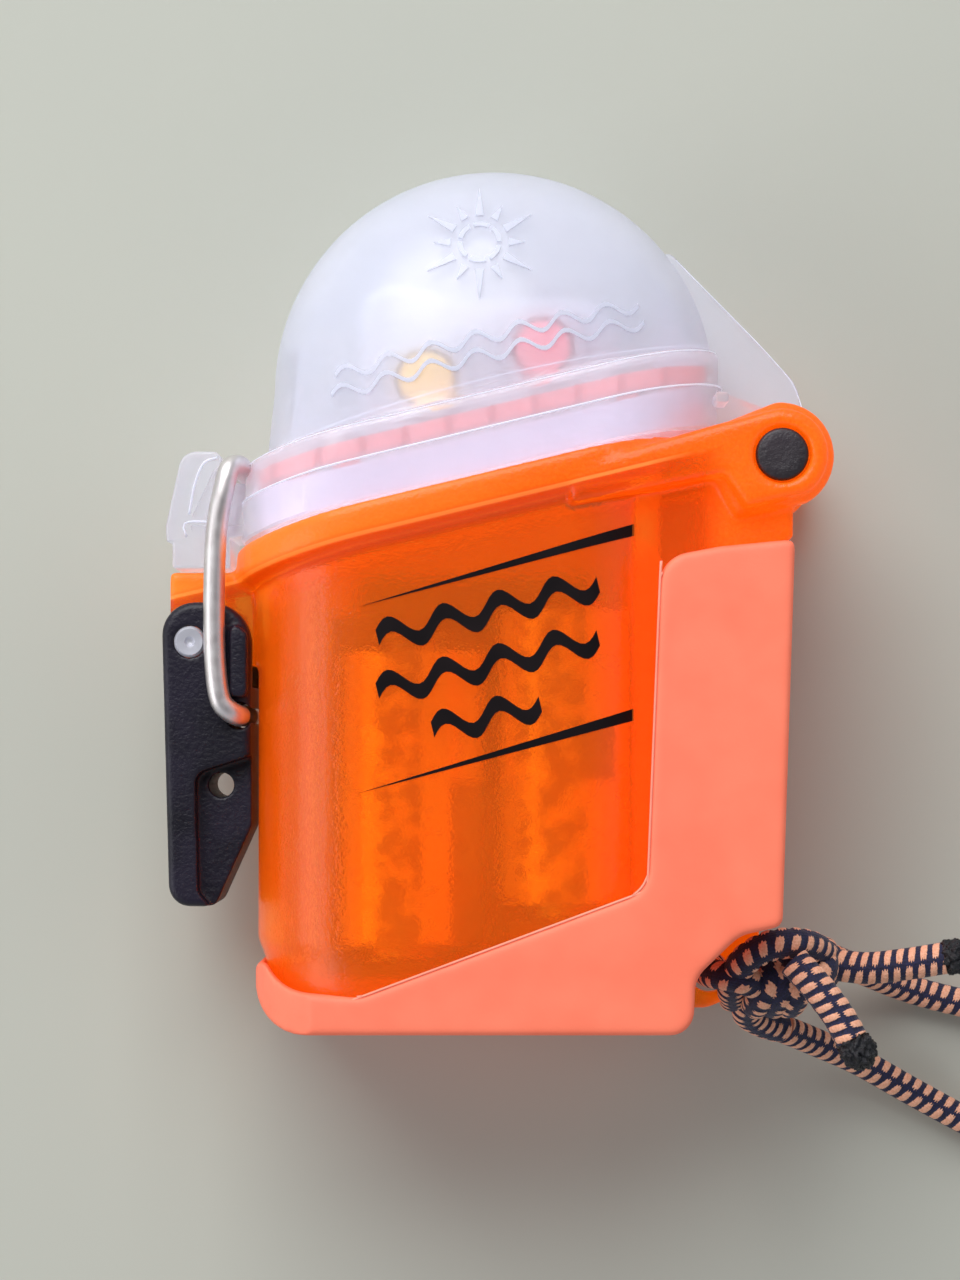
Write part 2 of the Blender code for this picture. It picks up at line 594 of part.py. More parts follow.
def build_batteries(wrap, metal):
    """Two short lithium cells, each between a lower contact spring and an upper plate."""
    for name, (x, low) in (("left", BATTERY_LEFT), ("right", BATTERY_RIGHT)):
        cell = cylinder(f"battery_{name}", (x, MIDDLE), BATTERY_RADIUS - 0.1, low,
                        low + BATTERY_LENGTH - 1.2, along="Y", sides=36)
        nub = cylinder(f"battery_nub_{name}", (x, MIDDLE), 3.0, low + BATTERY_LENGTH - 1.7,
                       low + BATTERY_LENGTH, along="Y", sides=20)
        as_part(combine(cell, "UNION", nub), wrap)
        as_part(block(f"contact_{name}", (x - 4, low + BATTERY_LENGTH + GAP, MIDDLE - 4),
                      (x + 4, low + BATTERY_LENGTH + GAP + 0.5, MIDDLE + 4)), metal)
        as_part(cylinder(f"contact_pad_{name}", (x, MIDDLE), 5.0, low - 1.4, low - GAP,
                         along="Y", sides=24), metal)


def build_antenna(steel):
    """Flexible tape antenna, stowed as a long fold beside the cells."""
    near, top, half = -20.2, 2.0, 0.2
    fold = 1.5
    bend = (near - fold, -38.0)
    outer = arc(bend, fold + half, 0, -180, 6)
    inner = arc(bend, fold - half, -180, 0, 6)
    tip = [(outer[-1][0], -8.0), (inner[0][0], -8.0)]
    outline = [(near + half, top)] + outer + tip + inner + [(near - half, top)]
    as_part(outline_solid("antenna_tape", outline, MIDDLE - 4, MIDDLE + 4), steel)


def build_screws(steel):
    """Two screws that hold the core's flange."""
    for name, x in (("left", -19.5), ("right", 18.0)):
        top = rim_height(x) + 5.5
        shank = cylinder(f"core_screw_{name}", (x, MIDDLE), 1.1, top - 5.0, top + 0.6, along="Y",
                         sides=16)
        lift = SLOPE * 2.2 + GAP
        head = cylinder(f"screw_head_{name}", (x, MIDDLE), 2.1, top + lift, top + lift + 0.8,
                        along="Y", sides=20, tip=1.6)
        stretch = cylinder(f"screw_neck_{name}", (x, MIDDLE), 1.1, top, top + lift + 0.4,
                           along="Y", sides=16)
        as_part(combine(shank, "UNION", stretch, head), steel)


# ---------------------------------------------------------------- lanyard

LOOP_ROUTE = [(33.6, -49.3, 10.4), (37.4, -51.0, 7.2), (42.8, -53.5, 4.2), (49.3, -57.2, 2.4),
              (56.5, -61.1, 2.0), (70.0, -68.0, 2.0), (86.0, -74.4, 2.0), (101.0, -77.6, 2.0),
              (113.5, -77.0, 2.0), (123.0, -72.4, 2.0), (127.2, -64.9, 2.0), (123.4, -57.3, 2.0),
              (113.5, -53.6, 2.0), (101.0, -52.4, 2.0), (86.0, -51.6, 2.0), (70.0, -49.9, 2.0),
              (55.0, -46.8, 2.0), (48.4, -45.0, 2.8), (42.6, -42.6, 7.0), (39.3, -41.2, 11.6)]
HITCH_ROUTE = [(28.6, -42.3, 25.4), (27.0, -42.3, 26.2), (25.2, -42.2, 25.0), (24.6, -42.2, 22.3),
               (24.6, -42.2, 16.7), (25.2, -42.2, 14.0), (27.0, -42.3, 12.8), (28.6, -42.3, 13.6)]
FRONT_TAIL_ROUTE = [(33.4, -40.6, 29.3), (35.6, -43.0, 30.3), (38.0, -46.2, 30.8),
                    (39.6, -49.0, 31.2)]
SIDE_TAIL_ROUTE = [(38.0, -41.2, 22.4), (42.0, -41.6, 23.2), (46.5, -41.1, 24.0),
                   (50.6, -40.4, 24.6)]


def build_lanyard(cord, char):
    """Shock-cord lanyard: loop, hitch through the web, knot and two melted tails."""
    spacing = 3 * CORD_RADIUS
    as_part(tube("lanyard_loop", smooth_route(LOOP_ROUTE, spacing), CORD_RADIUS), cord)
    as_part(tube("lanyard_hitch", smooth_route(HITCH_ROUTE, 1.6), CORD_RADIUS), cord)
    as_part(ball("lanyard_knot", (33.4, -42.6, MIDDLE), (4.4, 4.9, 7.6)), cord)
    for name, route in (("front", FRONT_TAIL_ROUTE), ("side", SIDE_TAIL_ROUTE)):
        points = smooth_route(route, 2.4)
        as_part(tube(f"{name}_tail", points, TAIL_RADIUS), cord)
        ahead = (points[-1] - points[-2]).normalized()
        place = points[-1] + ahead * (TAIL_RADIUS + GAP + 0.1)
        as_part(ball(f"{name}_tail_end", place, [TAIL_RADIUS] * 3, 16), char)


# ---------------------------------------------------------------- assembly

def new_collection(name):
    """A collection linked to the scene."""
    collection = bpy.data.collections.new(name)
    bpy.context.scene.collection.children.link(collection)
    return collection


for leftover in list(bpy.data.objects):
    bpy.data.objects.remove(leftover)
beacon = new_collection("emergency_position_beacon")
cutters = new_collection("cutters")


def build_beacon():
    """Builds every piece of the beacon."""
    orange = plastic("orange_case", (0.95, 0.20, 0.02), 0.3)
    coral = plastic("coral_bumper", (1.0, 0.22, 0.12), 0.6)
    black = plastic("black_plastic", (0.02, 0.02, 0.025), 0.5)
    clear = plastic("frosted_clear", (0.82, 0.83, 0.92), 0.3)
    white = plastic("white_core", (0.85, 0.85, 0.88), 0.5)
    steel = plastic("stainless_steel", (0.6, 0.58, 0.55), 0.3, 1.0)
    metal = plastic("nickel_contact", (0.65, 0.63, 0.58), 0.35, 1.0)
    red = plastic("red_rubber", (0.75, 0.12, 0.1), 0.6)
    yellow = plastic("yellow_button", (0.95, 0.6, 0.1), 0.5)
    pink_red = plastic("red_button", (0.9, 0.15, 0.15), 0.5)
    board = plastic("green_board", (0.03, 0.2, 0.08), 0.5)
    ceramic = plastic("tan_ceramic", (0.6, 0.5, 0.35), 0.6)
    wrap = plastic("battery_wrap", (0.5, 0.4, 0.1), 0.4)
    cord = plastic("braided_cord", (0.1, 0.08, 0.2), 0.8)
    char = plastic("melted_cord", (0.02, 0.02, 0.02), 0.5)

    build_case(orange)
    build_bumper(coral)
    build_lid(clear)
    build_gasket(red)
    build_hinge_pin(steel, black)
    build_lever(black)
    build_latch_pin(steel)
    build_bail(steel)
    build_core(white)
    build_button("yellow_button", YELLOW_BUTTON, yellow)
    build_button("red_button", RED_BUTTON, pink_red)
    build_electronics(board, black, metal, ceramic, clear)
    build_cradle(black)
    build_batteries(wrap, metal)
    build_antenna(steel)
    build_screws(steel)
    build_lanyard(cord, char)


build_beacon()
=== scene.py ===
"""Looks of the emergency position beacon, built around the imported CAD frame.

Sizes are in millimetres and are turned into metres with MM. The beacon lies on its back on
the floor: +Z comes out of its front face, +Y runs up to the clear dome and +X to the hinge.
"""
import json
from math import cos, pi, radians, sin, sqrt, tan, tau

import bmesh
import bpy
from mathutils import Matrix, Vector, noise

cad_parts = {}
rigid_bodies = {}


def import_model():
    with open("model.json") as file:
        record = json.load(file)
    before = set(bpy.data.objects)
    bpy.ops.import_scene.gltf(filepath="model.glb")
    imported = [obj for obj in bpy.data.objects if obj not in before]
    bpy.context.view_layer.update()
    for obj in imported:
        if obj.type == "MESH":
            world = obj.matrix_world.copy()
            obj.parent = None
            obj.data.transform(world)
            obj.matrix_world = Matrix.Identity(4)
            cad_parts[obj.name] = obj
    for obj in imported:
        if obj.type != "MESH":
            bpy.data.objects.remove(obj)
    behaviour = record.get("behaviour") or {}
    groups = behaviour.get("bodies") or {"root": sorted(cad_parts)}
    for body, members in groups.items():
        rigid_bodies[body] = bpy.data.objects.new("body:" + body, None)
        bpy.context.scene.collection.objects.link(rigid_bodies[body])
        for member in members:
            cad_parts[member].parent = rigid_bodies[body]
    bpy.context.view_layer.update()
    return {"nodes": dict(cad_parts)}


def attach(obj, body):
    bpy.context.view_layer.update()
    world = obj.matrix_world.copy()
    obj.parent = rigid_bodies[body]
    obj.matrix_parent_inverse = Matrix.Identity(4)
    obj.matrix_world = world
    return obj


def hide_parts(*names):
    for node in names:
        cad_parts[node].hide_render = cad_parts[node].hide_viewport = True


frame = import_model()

MM = 0.001


# Sizes that the looks share with the CAD model
DEPTH = 39
MIDDLE = DEPTH / 2
BOTTOM = -48.1
SLOPE = tan(radians(13.55))
RIM_HEIGHT = 11.96
BODY = (-26, 20.85, 1.8, 37.2, 13)  # left, right, back, front and corner radius
FOOT = (-25, 20.85, 1.8, 37.2, 13)  # the body's lower end, under the overmould
RIM = (-28.45, 24, 0, 39, 14.5)
SKIRT = (-27.8, 25.7, 0.9, 38.1, 12.5)
HINGE = (31.55, 14.9)
PIN_BORE = 1.8
LEVER_PIN = (-33.35, -5.25)
BAIL_PIVOT = (-27.95, -13.4)
BAIL_BAR = (-28, 14.3)
BAIL_HALF_DEPTH = 11.5
WIRE_RADIUS = 1.2
GASKET_PITCH = 4.7
GASKET_RIB = 0.8
SEAM_ARCH = 1.5
CELL_LEFT = -9
CELL_RIGHT = 9.2


def rim_height(x):
    """Height of the rim's slanted top edge at x, at mid depth."""
    return RIM_HEIGHT + SLOPE * x


def seam_height(x, z):
    """Height of the joint between case and lid, which arches up to the front and back."""
    return rim_height(x) + SEAM_ARCH * ((z - MIDDLE) / MIDDLE) ** 2


def rounded(corners, steps=8):
    """An outline with each (x, y, radius) corner turned into an arc."""
    outline = []
    for index, (x, y, radius) in enumerate(corners):
        corner = Vector((x, y))
        if radius == 0:
            outline.append(corner)
            continue
        before = (Vector(corners[index - 1][:2]) - corner).normalized()
        after = (Vector(corners[(index + 1) % len(corners)][:2]) - corner).normalized()
        half_angle = before.angle(after) / 2
        centre = corner + (before + after).normalized() * radius / sin(half_angle)
        start = corner + before * radius / tan(half_angle) - centre
        sweep = start.angle_signed(corner + after * radius / tan(half_angle) - centre)
        for step in range(steps + 1):
            turn = Matrix.Rotation(-sweep * step / steps, 2)
            outline.append(centre + turn @ start)
    return outline


def grown(corners, amount):
    """The same corners with every side of a clockwise outline moved outwards."""
    moved = []
    for index, (x, y, radius) in enumerate(corners):
        corner = Vector((x, y))
        coming = (corner - Vector(corners[index - 1][:2])).normalized()
        going = (Vector(corners[(index + 1) % len(corners)][:2]) - corner).normalized()
        out_coming = Vector((-coming.y, coming.x))
        out_going = Vector((-going.y, going.x))
        shift = (out_coming + out_going) / (1 + out_coming.dot(out_going))
        convex = coming.cross(going) < 0
        new_radius = radius + amount if convex else max(radius - amount, 0)
        moved.append((x + shift.x * amount, y + shift.y * amount, new_radius if radius else 0))
    return moved


def rectangle(left, right, low, high, radius):
    """Clockwise (x, y, radius) corners of a rectangle."""
    return [(left, low, radius), (left, high, radius), (right, high, radius), (right, low, radius)]


def arc(centre, radius, start, end, steps):
    """Points on a circle from one angle to another, in degrees."""
    points = []
    for step in range(steps + 1):
        angle = radians(start + (end - start) * step / steps)
        points.append((centre[0] + radius * cos(angle), centre[1] + radius * sin(angle)))
    return points


def section(sizes, inset, steps=12):
    """Front-to-back section of the case or lid, moved inwards by inset."""
    left, right, back, front, corner = sizes
    return rounded(rectangle(left + inset, right - inset, back + inset, front - inset,
                             max(corner - inset, 0.1)), steps)


def between(low, high, share):
    """Sizes part of the way from one section to another."""
    return tuple(a + (b - a) * share for a, b in zip(low, high))


# ---- routes and outlines

def smooth_route(points, spacing):
    """Evenly spaced points on a smooth curve through the route's own points."""
    route = [Vector(p) for p in points]
    route = [2 * route[0] - route[1]] + route + [2 * route[-1] - route[-2]]
    dense = []
    for a, b, c, d in zip(route, route[1:], route[2:], route[3:]):
        for step in range(24):
            t = step / 24
            dense.append(0.5 * (2 * b + (c - a) * t + (2 * a - 5 * b + 4 * c - d) * t * t
                                + (3 * b - a - 3 * c + d) * t ** 3))
    dense.append(route[-2])
    lengths = [0]
    for a, b in zip(dense, dense[1:]):
        lengths.append(lengths[-1] + (b - a).length)
    count = max(round(lengths[-1] / spacing), 2)
    even, at = [], 0
    for step in range(count + 1):
        target = lengths[-1] * step / count
        while at < len(dense) - 2 and lengths[at + 1] < target:
            at += 1
        part = (target - lengths[at]) / (lengths[at + 1] - lengths[at])
        even.append(dense[at].lerp(dense[at + 1], part))
    return even


def swept_rings(centres, sides, reach):
    """Rings of points square to a path. reach(spoke, index) is a point's distance from it."""
    ahead = (centres[1] - centres[0]).normalized()
    side = ahead.orthogonal().normalized()
    rings = []
    for index, centre in enumerate(centres):
        before = centres[max(index - 1, 0)]
        after = centres[min(index + 1, len(centres) - 1)]
        new_ahead = (after - before).normalized()
        side = (ahead.rotation_difference(new_ahead) @ side).normalized()
        ahead = new_ahead
        up = ahead.cross(side)
        ring = []
        for spoke in range(sides):
            angle = tau * spoke / sides
            out = side * cos(angle) + up * sin(angle)
            ring.append(centre + out * reach(spoke, index))
        rings.append(ring)
    return rings


def walk(outline, spacing):
    """Evenly spaced (place, outward direction) round a closed clockwise outline."""
    points = [Vector(p) for p in outline] + [Vector(outline[0])]
    stops = []
    for a, b in zip(points, points[1:]):
        count = max(round((b - a).length / spacing), 1)
        ahead = (b - a).normalized()
        for step in range(count):
            stops.append((a.lerp(b, step / count), Vector((-ahead.y, ahead.x))))
    return stops


def wave_band(start, end, waves, swing, width):
    """Outline of a thick wavy line between two points."""
    start, end = Vector(start), Vector(end)
    ahead = (end - start).normalized()
    up = Vector((-ahead.y, ahead.x))
    upper, lower = [], []
    count = 12 * waves
    for step in range(count + 1):
        share = step / count
        middle = start.lerp(end, share) + up * swing * sin(tau * waves * share)
        upper.append(middle + up * width / 2)
        lower.append(middle - up * width / 2)
    return upper + lower[::-1]


# ---- solids and pieces

WORKSHOP = bpy.data.collections.new("workshop")  # holds temporary solids, in millimetres
bpy.context.scene.collection.children.link(WORKSHOP)


def add_object(name, data, collection=None):
    """Puts data into a collection, or into the scene's own, as an object."""
    holder = bpy.data.objects.new(name, data)
    (collection or bpy.context.scene.collection).objects.link(holder)
    return holder


def mesh_of(bm):
    """A mesh of a bmesh, which is freed."""
    mesh = bpy.data.meshes.new("mesh")
    bm.to_mesh(mesh)
    bm.free()
    return mesh


def evaluated_mesh(holder):
    """A mesh of an object's curve, or of its mesh with the modifiers applied."""
    depsgraph = bpy.context.evaluated_depsgraph_get()
    return bpy.data.meshes.new_from_object(holder.evaluated_get(depsgraph))


def solid(bm):
    """A temporary solid from a bmesh."""
    bmesh.ops.remove_doubles(bm, verts=bm.verts, dist=0.004)
    bmesh.ops.recalc_face_normals(bm, faces=bm.faces)
    return add_object("solid", mesh_of(bm), WORKSHOP)


def slabs(outlines, low, high, edge=0, along="Z"):
    """Flat outlines given thickness along Z, or along Y for (x, z) outlines, as one solid."""
    curve = bpy.data.curves.new("outline", "CURVE")
    curve.dimensions = "2D"
    curve.fill_mode = "BOTH"
    curve.extrude = (high - low) / 2 - edge
    curve.bevel_depth = edge
    curve.bevel_resolution = 4
    curve.offset = -edge
    for outline in outlines:
        spline = curve.splines.new("POLY")
        spline.points.add(len(outline) - 1)
        for point, (x, y) in zip(spline.points, outline):
            point.co = (x, y, 0, 1)
        spline.use_cyclic_u = True
    holder = add_object("outline", curve, WORKSHOP)
    mesh = evaluated_mesh(holder)
    bpy.data.objects.remove(holder)
    mesh.transform(Matrix.Translation((0, 0, (low + high) / 2)))
    if along == "Y":
        mesh.transform(Matrix(((1, 0, 0, 0), (0, 0, 1, 0), (0, 1, 0, 0), (0, 0, 0, 1))))
    bm = bmesh.new()
    bm.from_mesh(mesh)
    return solid(bm)


def slab(outline, low, high, edge=0, along="Z"):
    """A flat outline given thickness."""
    return slabs([outline], low, high, edge, along)


def slanted(outline, low, high):
    """An (x, z) outline between two planes parallel to the rim."""
    plate = slab(outline, low, high, along="Y")
    lean = Matrix.Identity(4)
    lean[1][0] = SLOPE
    plate.data.transform(Matrix.Translation((0, RIM_HEIGHT, 0)) @ lean)
    return plate


def cylinder(centre, radius, low, high):
    """A round bar along Z through (x, y)."""
    bm = bmesh.new()
    bmesh.ops.create_cone(bm, cap_ends=True, segments=48, radius1=radius, radius2=radius,
                          depth=high - low)
    bmesh.ops.translate(bm, vec=(*centre, (low + high) / 2), verts=bm.verts)
    return solid(bm)


def block(low, high):
    """A box between two corners."""
    bm = bmesh.new()
    bmesh.ops.create_cube(bm, size=1)
    bmesh.ops.scale(bm, vec=[b - a for a, b in zip(low, high)], verts=bm.verts)
    bmesh.ops.translate(bm, vec=[(a + b) / 2 for a, b in zip(low, high)], verts=bm.verts)
    return solid(bm)


def skinned(rings):
    """A bmesh skin through rings of equal length, capped at both ends."""
    bm = bmesh.new()
    rows = [[bm.verts.new(point) for point in ring] for ring in rings]
    for low, high in zip(rows, rows[1:]):
        for index in range(len(low)):
            after = (index + 1) % len(low)
            bm.faces.new((low[index], low[after], high[after], high[index]))
    bm.faces.new(rows[0][::-1])
    bm.faces.new(rows[-1])
    return bm


def loft(rings):
    """A temporary solid skinned through rings."""
    return solid(skinned(rings))


def tube(route, sides, radius):
    """A round bar along a route."""
    return loft(swept_rings(route, sides, lambda spoke, index: radius))


def turned(centre, profile):
    """A (radius, z) profile turned about an upright line through (x, y)."""
    return loft([[(x, y, z) for x, y in arc(centre, radius, 0, 352.5, 47)] for radius, z in profile])


def combine(target, operation, *tools):
    """Adds boolean modifiers."""
    for tool in tools:
        modifier = target.modifiers.new("boolean", "BOOLEAN")
        modifier.operation = operation
        modifier.object = tool
        modifier.solver = "EXACT"


def soften(target, voxel, passes, keep):
    """Melts a solid's joints into fillets by voxel remeshing, smoothing and thinning."""
    remesh = target.modifiers.new("remesh", "REMESH")
    remesh.mode = "VOXEL"
    remesh.voxel_size = voxel
    smooth = target.modifiers.new("smooth", "SMOOTH")
    smooth.factor = 0.5
    smooth.iterations = passes
    target.modifiers.new("thin", "DECIMATE").ratio = keep


def finish(shape, name, body, material, node=None, sharp=None):
    """Turns a solid or a bmesh into a piece in metres and hangs it on its body.

    The piece stands for the CAD node that is named, if any.
    """
    mesh = mesh_of(shape) if isinstance(shape, bmesh.types.BMesh) else evaluated_mesh(shape)
    mesh.name = name
    mesh.transform(Matrix.Scale(MM, 4))
    mesh.materials.clear()
    mesh.materials.append(material)
    mesh.shade_smooth()
    if sharp:
        mesh.set_sharp_from_angle(angle=radians(sharp))
    piece = add_object(name, mesh)
    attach(piece, body)
    if node:
        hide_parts(node)
    return piece


# ---- material helpers

class Nodes:
    """Short calls for building the nodes of a material, or of the world."""

    def __init__(self, name, library=bpy.data.materials, shader="Principled BSDF"):
        self.owner = library.new(name)
        self.owner.use_nodes = True
        self.tree = self.owner.node_tree
        self.shader = self.tree.nodes[shader]

    def add(self, kind, **settings):
        node = self.tree.nodes.new(kind)
        for key, value in settings.items():
            if key in node.inputs:
                self.feed(node.inputs[key], value)
            else:
                setattr(node, key, value)
        return node

    def feed(self, socket, value):
        if isinstance(value, bpy.types.NodeSocket):
            self.tree.links.new(value, socket)
        else:
            socket.default_value = value

    def set(self, **values):
        """Sets or links the shader's inputs, with _ for a space in their names."""
        for key, value in values.items():
            self.feed(self.shader.inputs[key.replace("_", " ")], value)

    def place(self):
        """Object coordinates in metres."""
        return self.add("ShaderNodeTexCoord").outputs["Object"]

    def axes(self):
        """The three parts of the object coordinates, in metres."""
        return self.add("ShaderNodeSeparateXYZ", Vector=self.place()).outputs

    def above_seam(self):
        """Height above the joint between case and lid, in metres."""
        x, y, z = self.axes()
        rim = self.math("MULTIPLY_ADD", x, SLOPE, RIM_HEIGHT * MM)
        swing = self.math("SUBTRACT", self.math("DIVIDE", z, MIDDLE * MM), 1)
        seam = self.math("MULTIPLY_ADD", self.times(swing, swing), SEAM_ARCH * MM, rim)
        return self.math("SUBTRACT", y, seam)

    def band(self, value, low, high, fade):
        """One between two values in millimetres, fading to nothing outside them."""
        rise = self.ramp(value, (low - fade) * MM, low * MM)
        fall = self.ramp(value, high * MM, (high + fade) * MM, 1, 0)
        return self.times(rise, fall)

    def noise(self, scale, detail=3, roughness=0.55):
        return self.add("ShaderNodeTexNoise", Scale=scale, Detail=detail, Roughness=roughness,
                        Vector=self.place()).outputs["Fac"]

    def math(self, operation, a, b=0, c=0):
        node = self.add("ShaderNodeMath", operation=operation)
        for socket, value in zip(node.inputs, (a, b, c)):
            self.feed(socket, value)
        return node.outputs[0]

    def times(self, a, b):
        return self.math("MULTIPLY", a, b)

    def plus(self, a, b):
        return self.math("ADD", a, b)

    def most(self, a, b):
        return self.math("MAXIMUM", a, b)

    def ramp(self, factor, low, high, start=0, end=1):
        """Maps factor from (low, high) to (start, end), clamped."""
        sockets = {"Value": factor, "From Min": low, "From Max": high, "To Min": start, "To Max": end}
        return self.add("ShaderNodeMapRange", **sockets).outputs["Result"]

    def mix(self, factor, a, b):
        """Blends two colours."""
        node = self.add("ShaderNodeMix", data_type="RGBA")
        factor_socket, first, second = node.inputs[0], node.inputs[6], node.inputs[7]
        for socket, value in ((factor_socket, factor), (first, a), (second, b)):
            self.feed(socket, (*value, 1) if isinstance(value, tuple) else value)
        return node.outputs[2]

    def shader_mix(self, factor, a, b):
        """Mixes two shaders."""
        node = self.add("ShaderNodeMixShader")
        for socket, value in zip(node.inputs, (factor, a, b)):
            self.feed(socket, value)
        return node.outputs[0]

    def bump(self, height, strength, distance):
        return self.add("ShaderNodeBump", Strength=strength, Distance=distance,
                        Height=height).outputs["Normal"]


def moulded(name, low, high, roughness, grain=1800, bump=0.15, depth=0.00003, **shader):
    """Moulded plastic: two close colours, a fine grain and slightly uneven gloss."""
    n = Nodes(name)
    patches = n.noise(140, 2)
    fine = n.noise(grain, 3, 0.6)
    n.set(Base_Color=n.mix(n.ramp(patches, 0.35, 0.65), low, high),
          Roughness=n.ramp(fine, 0.3, 0.7, roughness - 0.05, roughness + 0.05),
          Normal=n.bump(fine, bump, depth), **shader)
    return n.owner


# ---- materials

def see_through(n, body_share, tint, roughness, normal):
    """Mixes the plastic's own colour with clear plastic that lets the lamps' light in.

    The tint is what one surface lets through, and a Principled shader takes its square.
    """
    clear = n.add("ShaderNodeBsdfPrincipled", Roughness=roughness, IOR=1.4, Normal=normal,
                  **{"Base Color": (*[part * part for part in tint], 1), "Transmission Weight": 1})
    lamp_way = n.add("ShaderNodeBsdfTransparent", Color=(*tint, 1))
    is_shadow = n.add("ShaderNodeLightPath").outputs["Is Shadow Ray"]
    way = n.shader_mix(is_shadow, clear.outputs[0], lamp_way.outputs[0])
    colour = n.shader.inputs["Base Color"].links[0].from_socket
    glow = n.add("ShaderNodeBsdfTranslucent", Color=colour, Normal=normal)
    body = n.shader_mix(0.4, n.shader.outputs[0], glow.outputs[0])
    surface = n.tree.nodes["Material Output"].inputs["Surface"]
    n.feed(surface, n.shader_mix(body_share, way, body))


def orange_material():
    """Translucent orange case under a fine leathery stipple, denser in the thick lip and ears, with a
    painted glow and painted light and shade on the lip.
    """
    n = Nodes("orange_case")
    stipple = n.noise(2600, 2, 0.5)
    wave = n.noise(900, 3, 0.6)
    height = n.plus(n.times(stipple, 0.6), n.times(wave, 0.6))
    normal = n.bump(height, 0.6, 0.00015)
    x, _, _ = n.axes()
    above = n.above_seam()
    thick = n.most(n.ramp(above, -4.2 * MM, -3.6 * MM), n.ramp(x, 23 * MM, 25.5 * MM))
    depth = n.math("MULTIPLY_ADD", n.ramp(stipple, 0.35, 0.65), 0.6,
                   n.ramp(n.noise(90, 2), 0.35, 0.65, 0, 0.4))
    # Painted light: the lip is made paler and more glowing towards its left end.
    painted_light_left = n.times(n.ramp(x, -28 * MM, 8 * MM, 1, 0), thick)
    plastic = n.mix(depth, (1, 0.15, 0.002), (1, 0.23, 0.012))
    plastic = n.mix(n.times(painted_light_left, 0.7), plastic, (1, 0.42, 0.07))
    fade = n.ramp(x, 17 * MM, 22 * MM, 1, 0)
    # Painted shade: a dark red band just under the lip's lower edge, fading out to the right, which
    # also dims the glow.
    shade = n.times(n.band(above, -4.7, -4.1, 1), fade)
    shaded = n.mix(n.times(shade, 0.7), plastic, (0.72, 0.03, 0))
    # Painted highlight: a bright line on the lip's lower edge that also glows, fading out to the
    # right.
    shine = n.times(n.band(above, -3.85, -3.6, 0.15), fade)
    # Painted glow: emission over the whole case, stronger in the thick lip and ears and stronger still
    # on the lip's left end.
    glow = n.math("MULTIPLY_ADD", painted_light_left, 0.18, n.ramp(thick, 0, 1, 0.42, 0.5))
    n.set(Base_Color=n.mix(shine, shaded, (1, 0.46, 0.12)), Roughness=0.4,
          Emission_Color=(1, 0.19, 0, 1), Normal=normal,
          Emission_Strength=n.math("SUBTRACT", n.math("MULTIPLY_ADD", shine, 0.35, glow),
                                   n.times(shade, 0.25)))
    share = n.most(n.ramp(thick, 0, 1, 0.32, 0.74), n.times(n.most(shade, shine), 0.7))
    see_through(n, share, (1, 0.76, 0.24), 0.08, normal)
    return n.owner


def frosted_material(name, body_share, roughness, glow=0):
    """Frosted clear plastic with a cool lavender cast, clearer in the lid's skirt; glow sets the
    strength of a painted glow from its emission.
    """
    n = Nodes(name)
    normal = n.bump(n.noise(2200, 2, 0.5), 0.12, 0.00005)
    cloud = n.ramp(n.noise(110, 2), 0.35, 0.65)
    n.set(Base_Color=n.mix(cloud, (0.84, 0.86, 0.95), (0.89, 0.90, 0.98)), Roughness=0.3,
          Emission_Color=(0.95, 0.95, 1, 1), Emission_Strength=glow, Normal=normal)
    blur = n.ramp(n.above_seam(), 8 * MM, 10 * MM, 0.13, roughness)
    see_through(n, body_share, (0.95, 0.955, 0.99), blur, normal)
    return n.owner


def braid_material(name, half_width, half_length):
    """Braided cord: peach floats in four staggered rows on navy, drawn on the cord's own map.

    U counts rows round the cord, V counts floats along it. The floats' ends are ragged.
    """
    n = Nodes(name)
    braid_map = n.add("ShaderNodeUVMap", uv_map="braid").outputs["UV"]
    across, along, _ = n.add("ShaderNodeSeparateXYZ", Vector=braid_map).outputs
    row = n.math("ROUND", across)
    a = n.math("SUBTRACT", across, row)
    shifted = n.plus(along, n.times(row, 0.5))
    leaning = n.plus(shifted, n.times(a, 0.35))
    b = n.math("SUBTRACT", leaning, n.math("ROUND", leaning))
    fringe = n.times(n.math("PINGPONG", b, 0.10), 1.1)
    reach = n.plus(n.math("ABSOLUTE", a), fringe)
    edge = n.plus(n.math("POWER", n.math("DIVIDE", reach, half_width), 4),
                  n.math("POWER", n.math("ABSOLUTE", n.math("DIVIDE", b, half_length)), 3))
    rag = n.noise(5200, 2)
    edge = n.plus(edge, n.ramp(rag, 0.3, 0.7, -0.35, 0.35))
    peach = n.ramp(edge, 0.85, 1.1, 1, 0)
    yarn = n.add("ShaderNodeTexWave", wave_profile="SIN", bands_direction="X", Scale=2.2,
                 Distortion=1.5, Vector=braid_map)
    fibre = n.noise(4200, 3, 0.7)
    navy = n.mix(n.ramp(fibre, 0.35, 0.7), (0.004, 0.004, 0.020), (0.013, 0.015, 0.080))
    skin = n.mix(n.ramp(fibre, 0.3, 0.7), (0.78, 0.32, 0.18), (1, 0.56, 0.38))
    height = n.plus(n.times(yarn.outputs["Fac"], 0.3), fibre)
    n.set(Base_Color=n.mix(peach, navy, skin), Roughness=0.75, Sheen_Weight=0.12,
          Sheen_Roughness=0.5, Normal=n.bump(height, 0.6, 0.00012))
    return n.owner


def steel_material():
    """Drawn stainless wire: brownish grey with a soft, uneven sheen."""
    n = Nodes("stainless_steel")
    sheen = n.noise(500, 3, 0.6)
    n.set(Base_Color=n.mix(n.ramp(sheen, 0.3, 0.7), (0.74, 0.68, 0.68), (0.84, 0.80, 0.80)),
          Metallic=1, Roughness=n.ramp(sheen, 0.3, 0.7, 0.38, 0.46),
          Normal=n.bump(n.noise(2600), 0.03, 0.00001))
    return n.owner


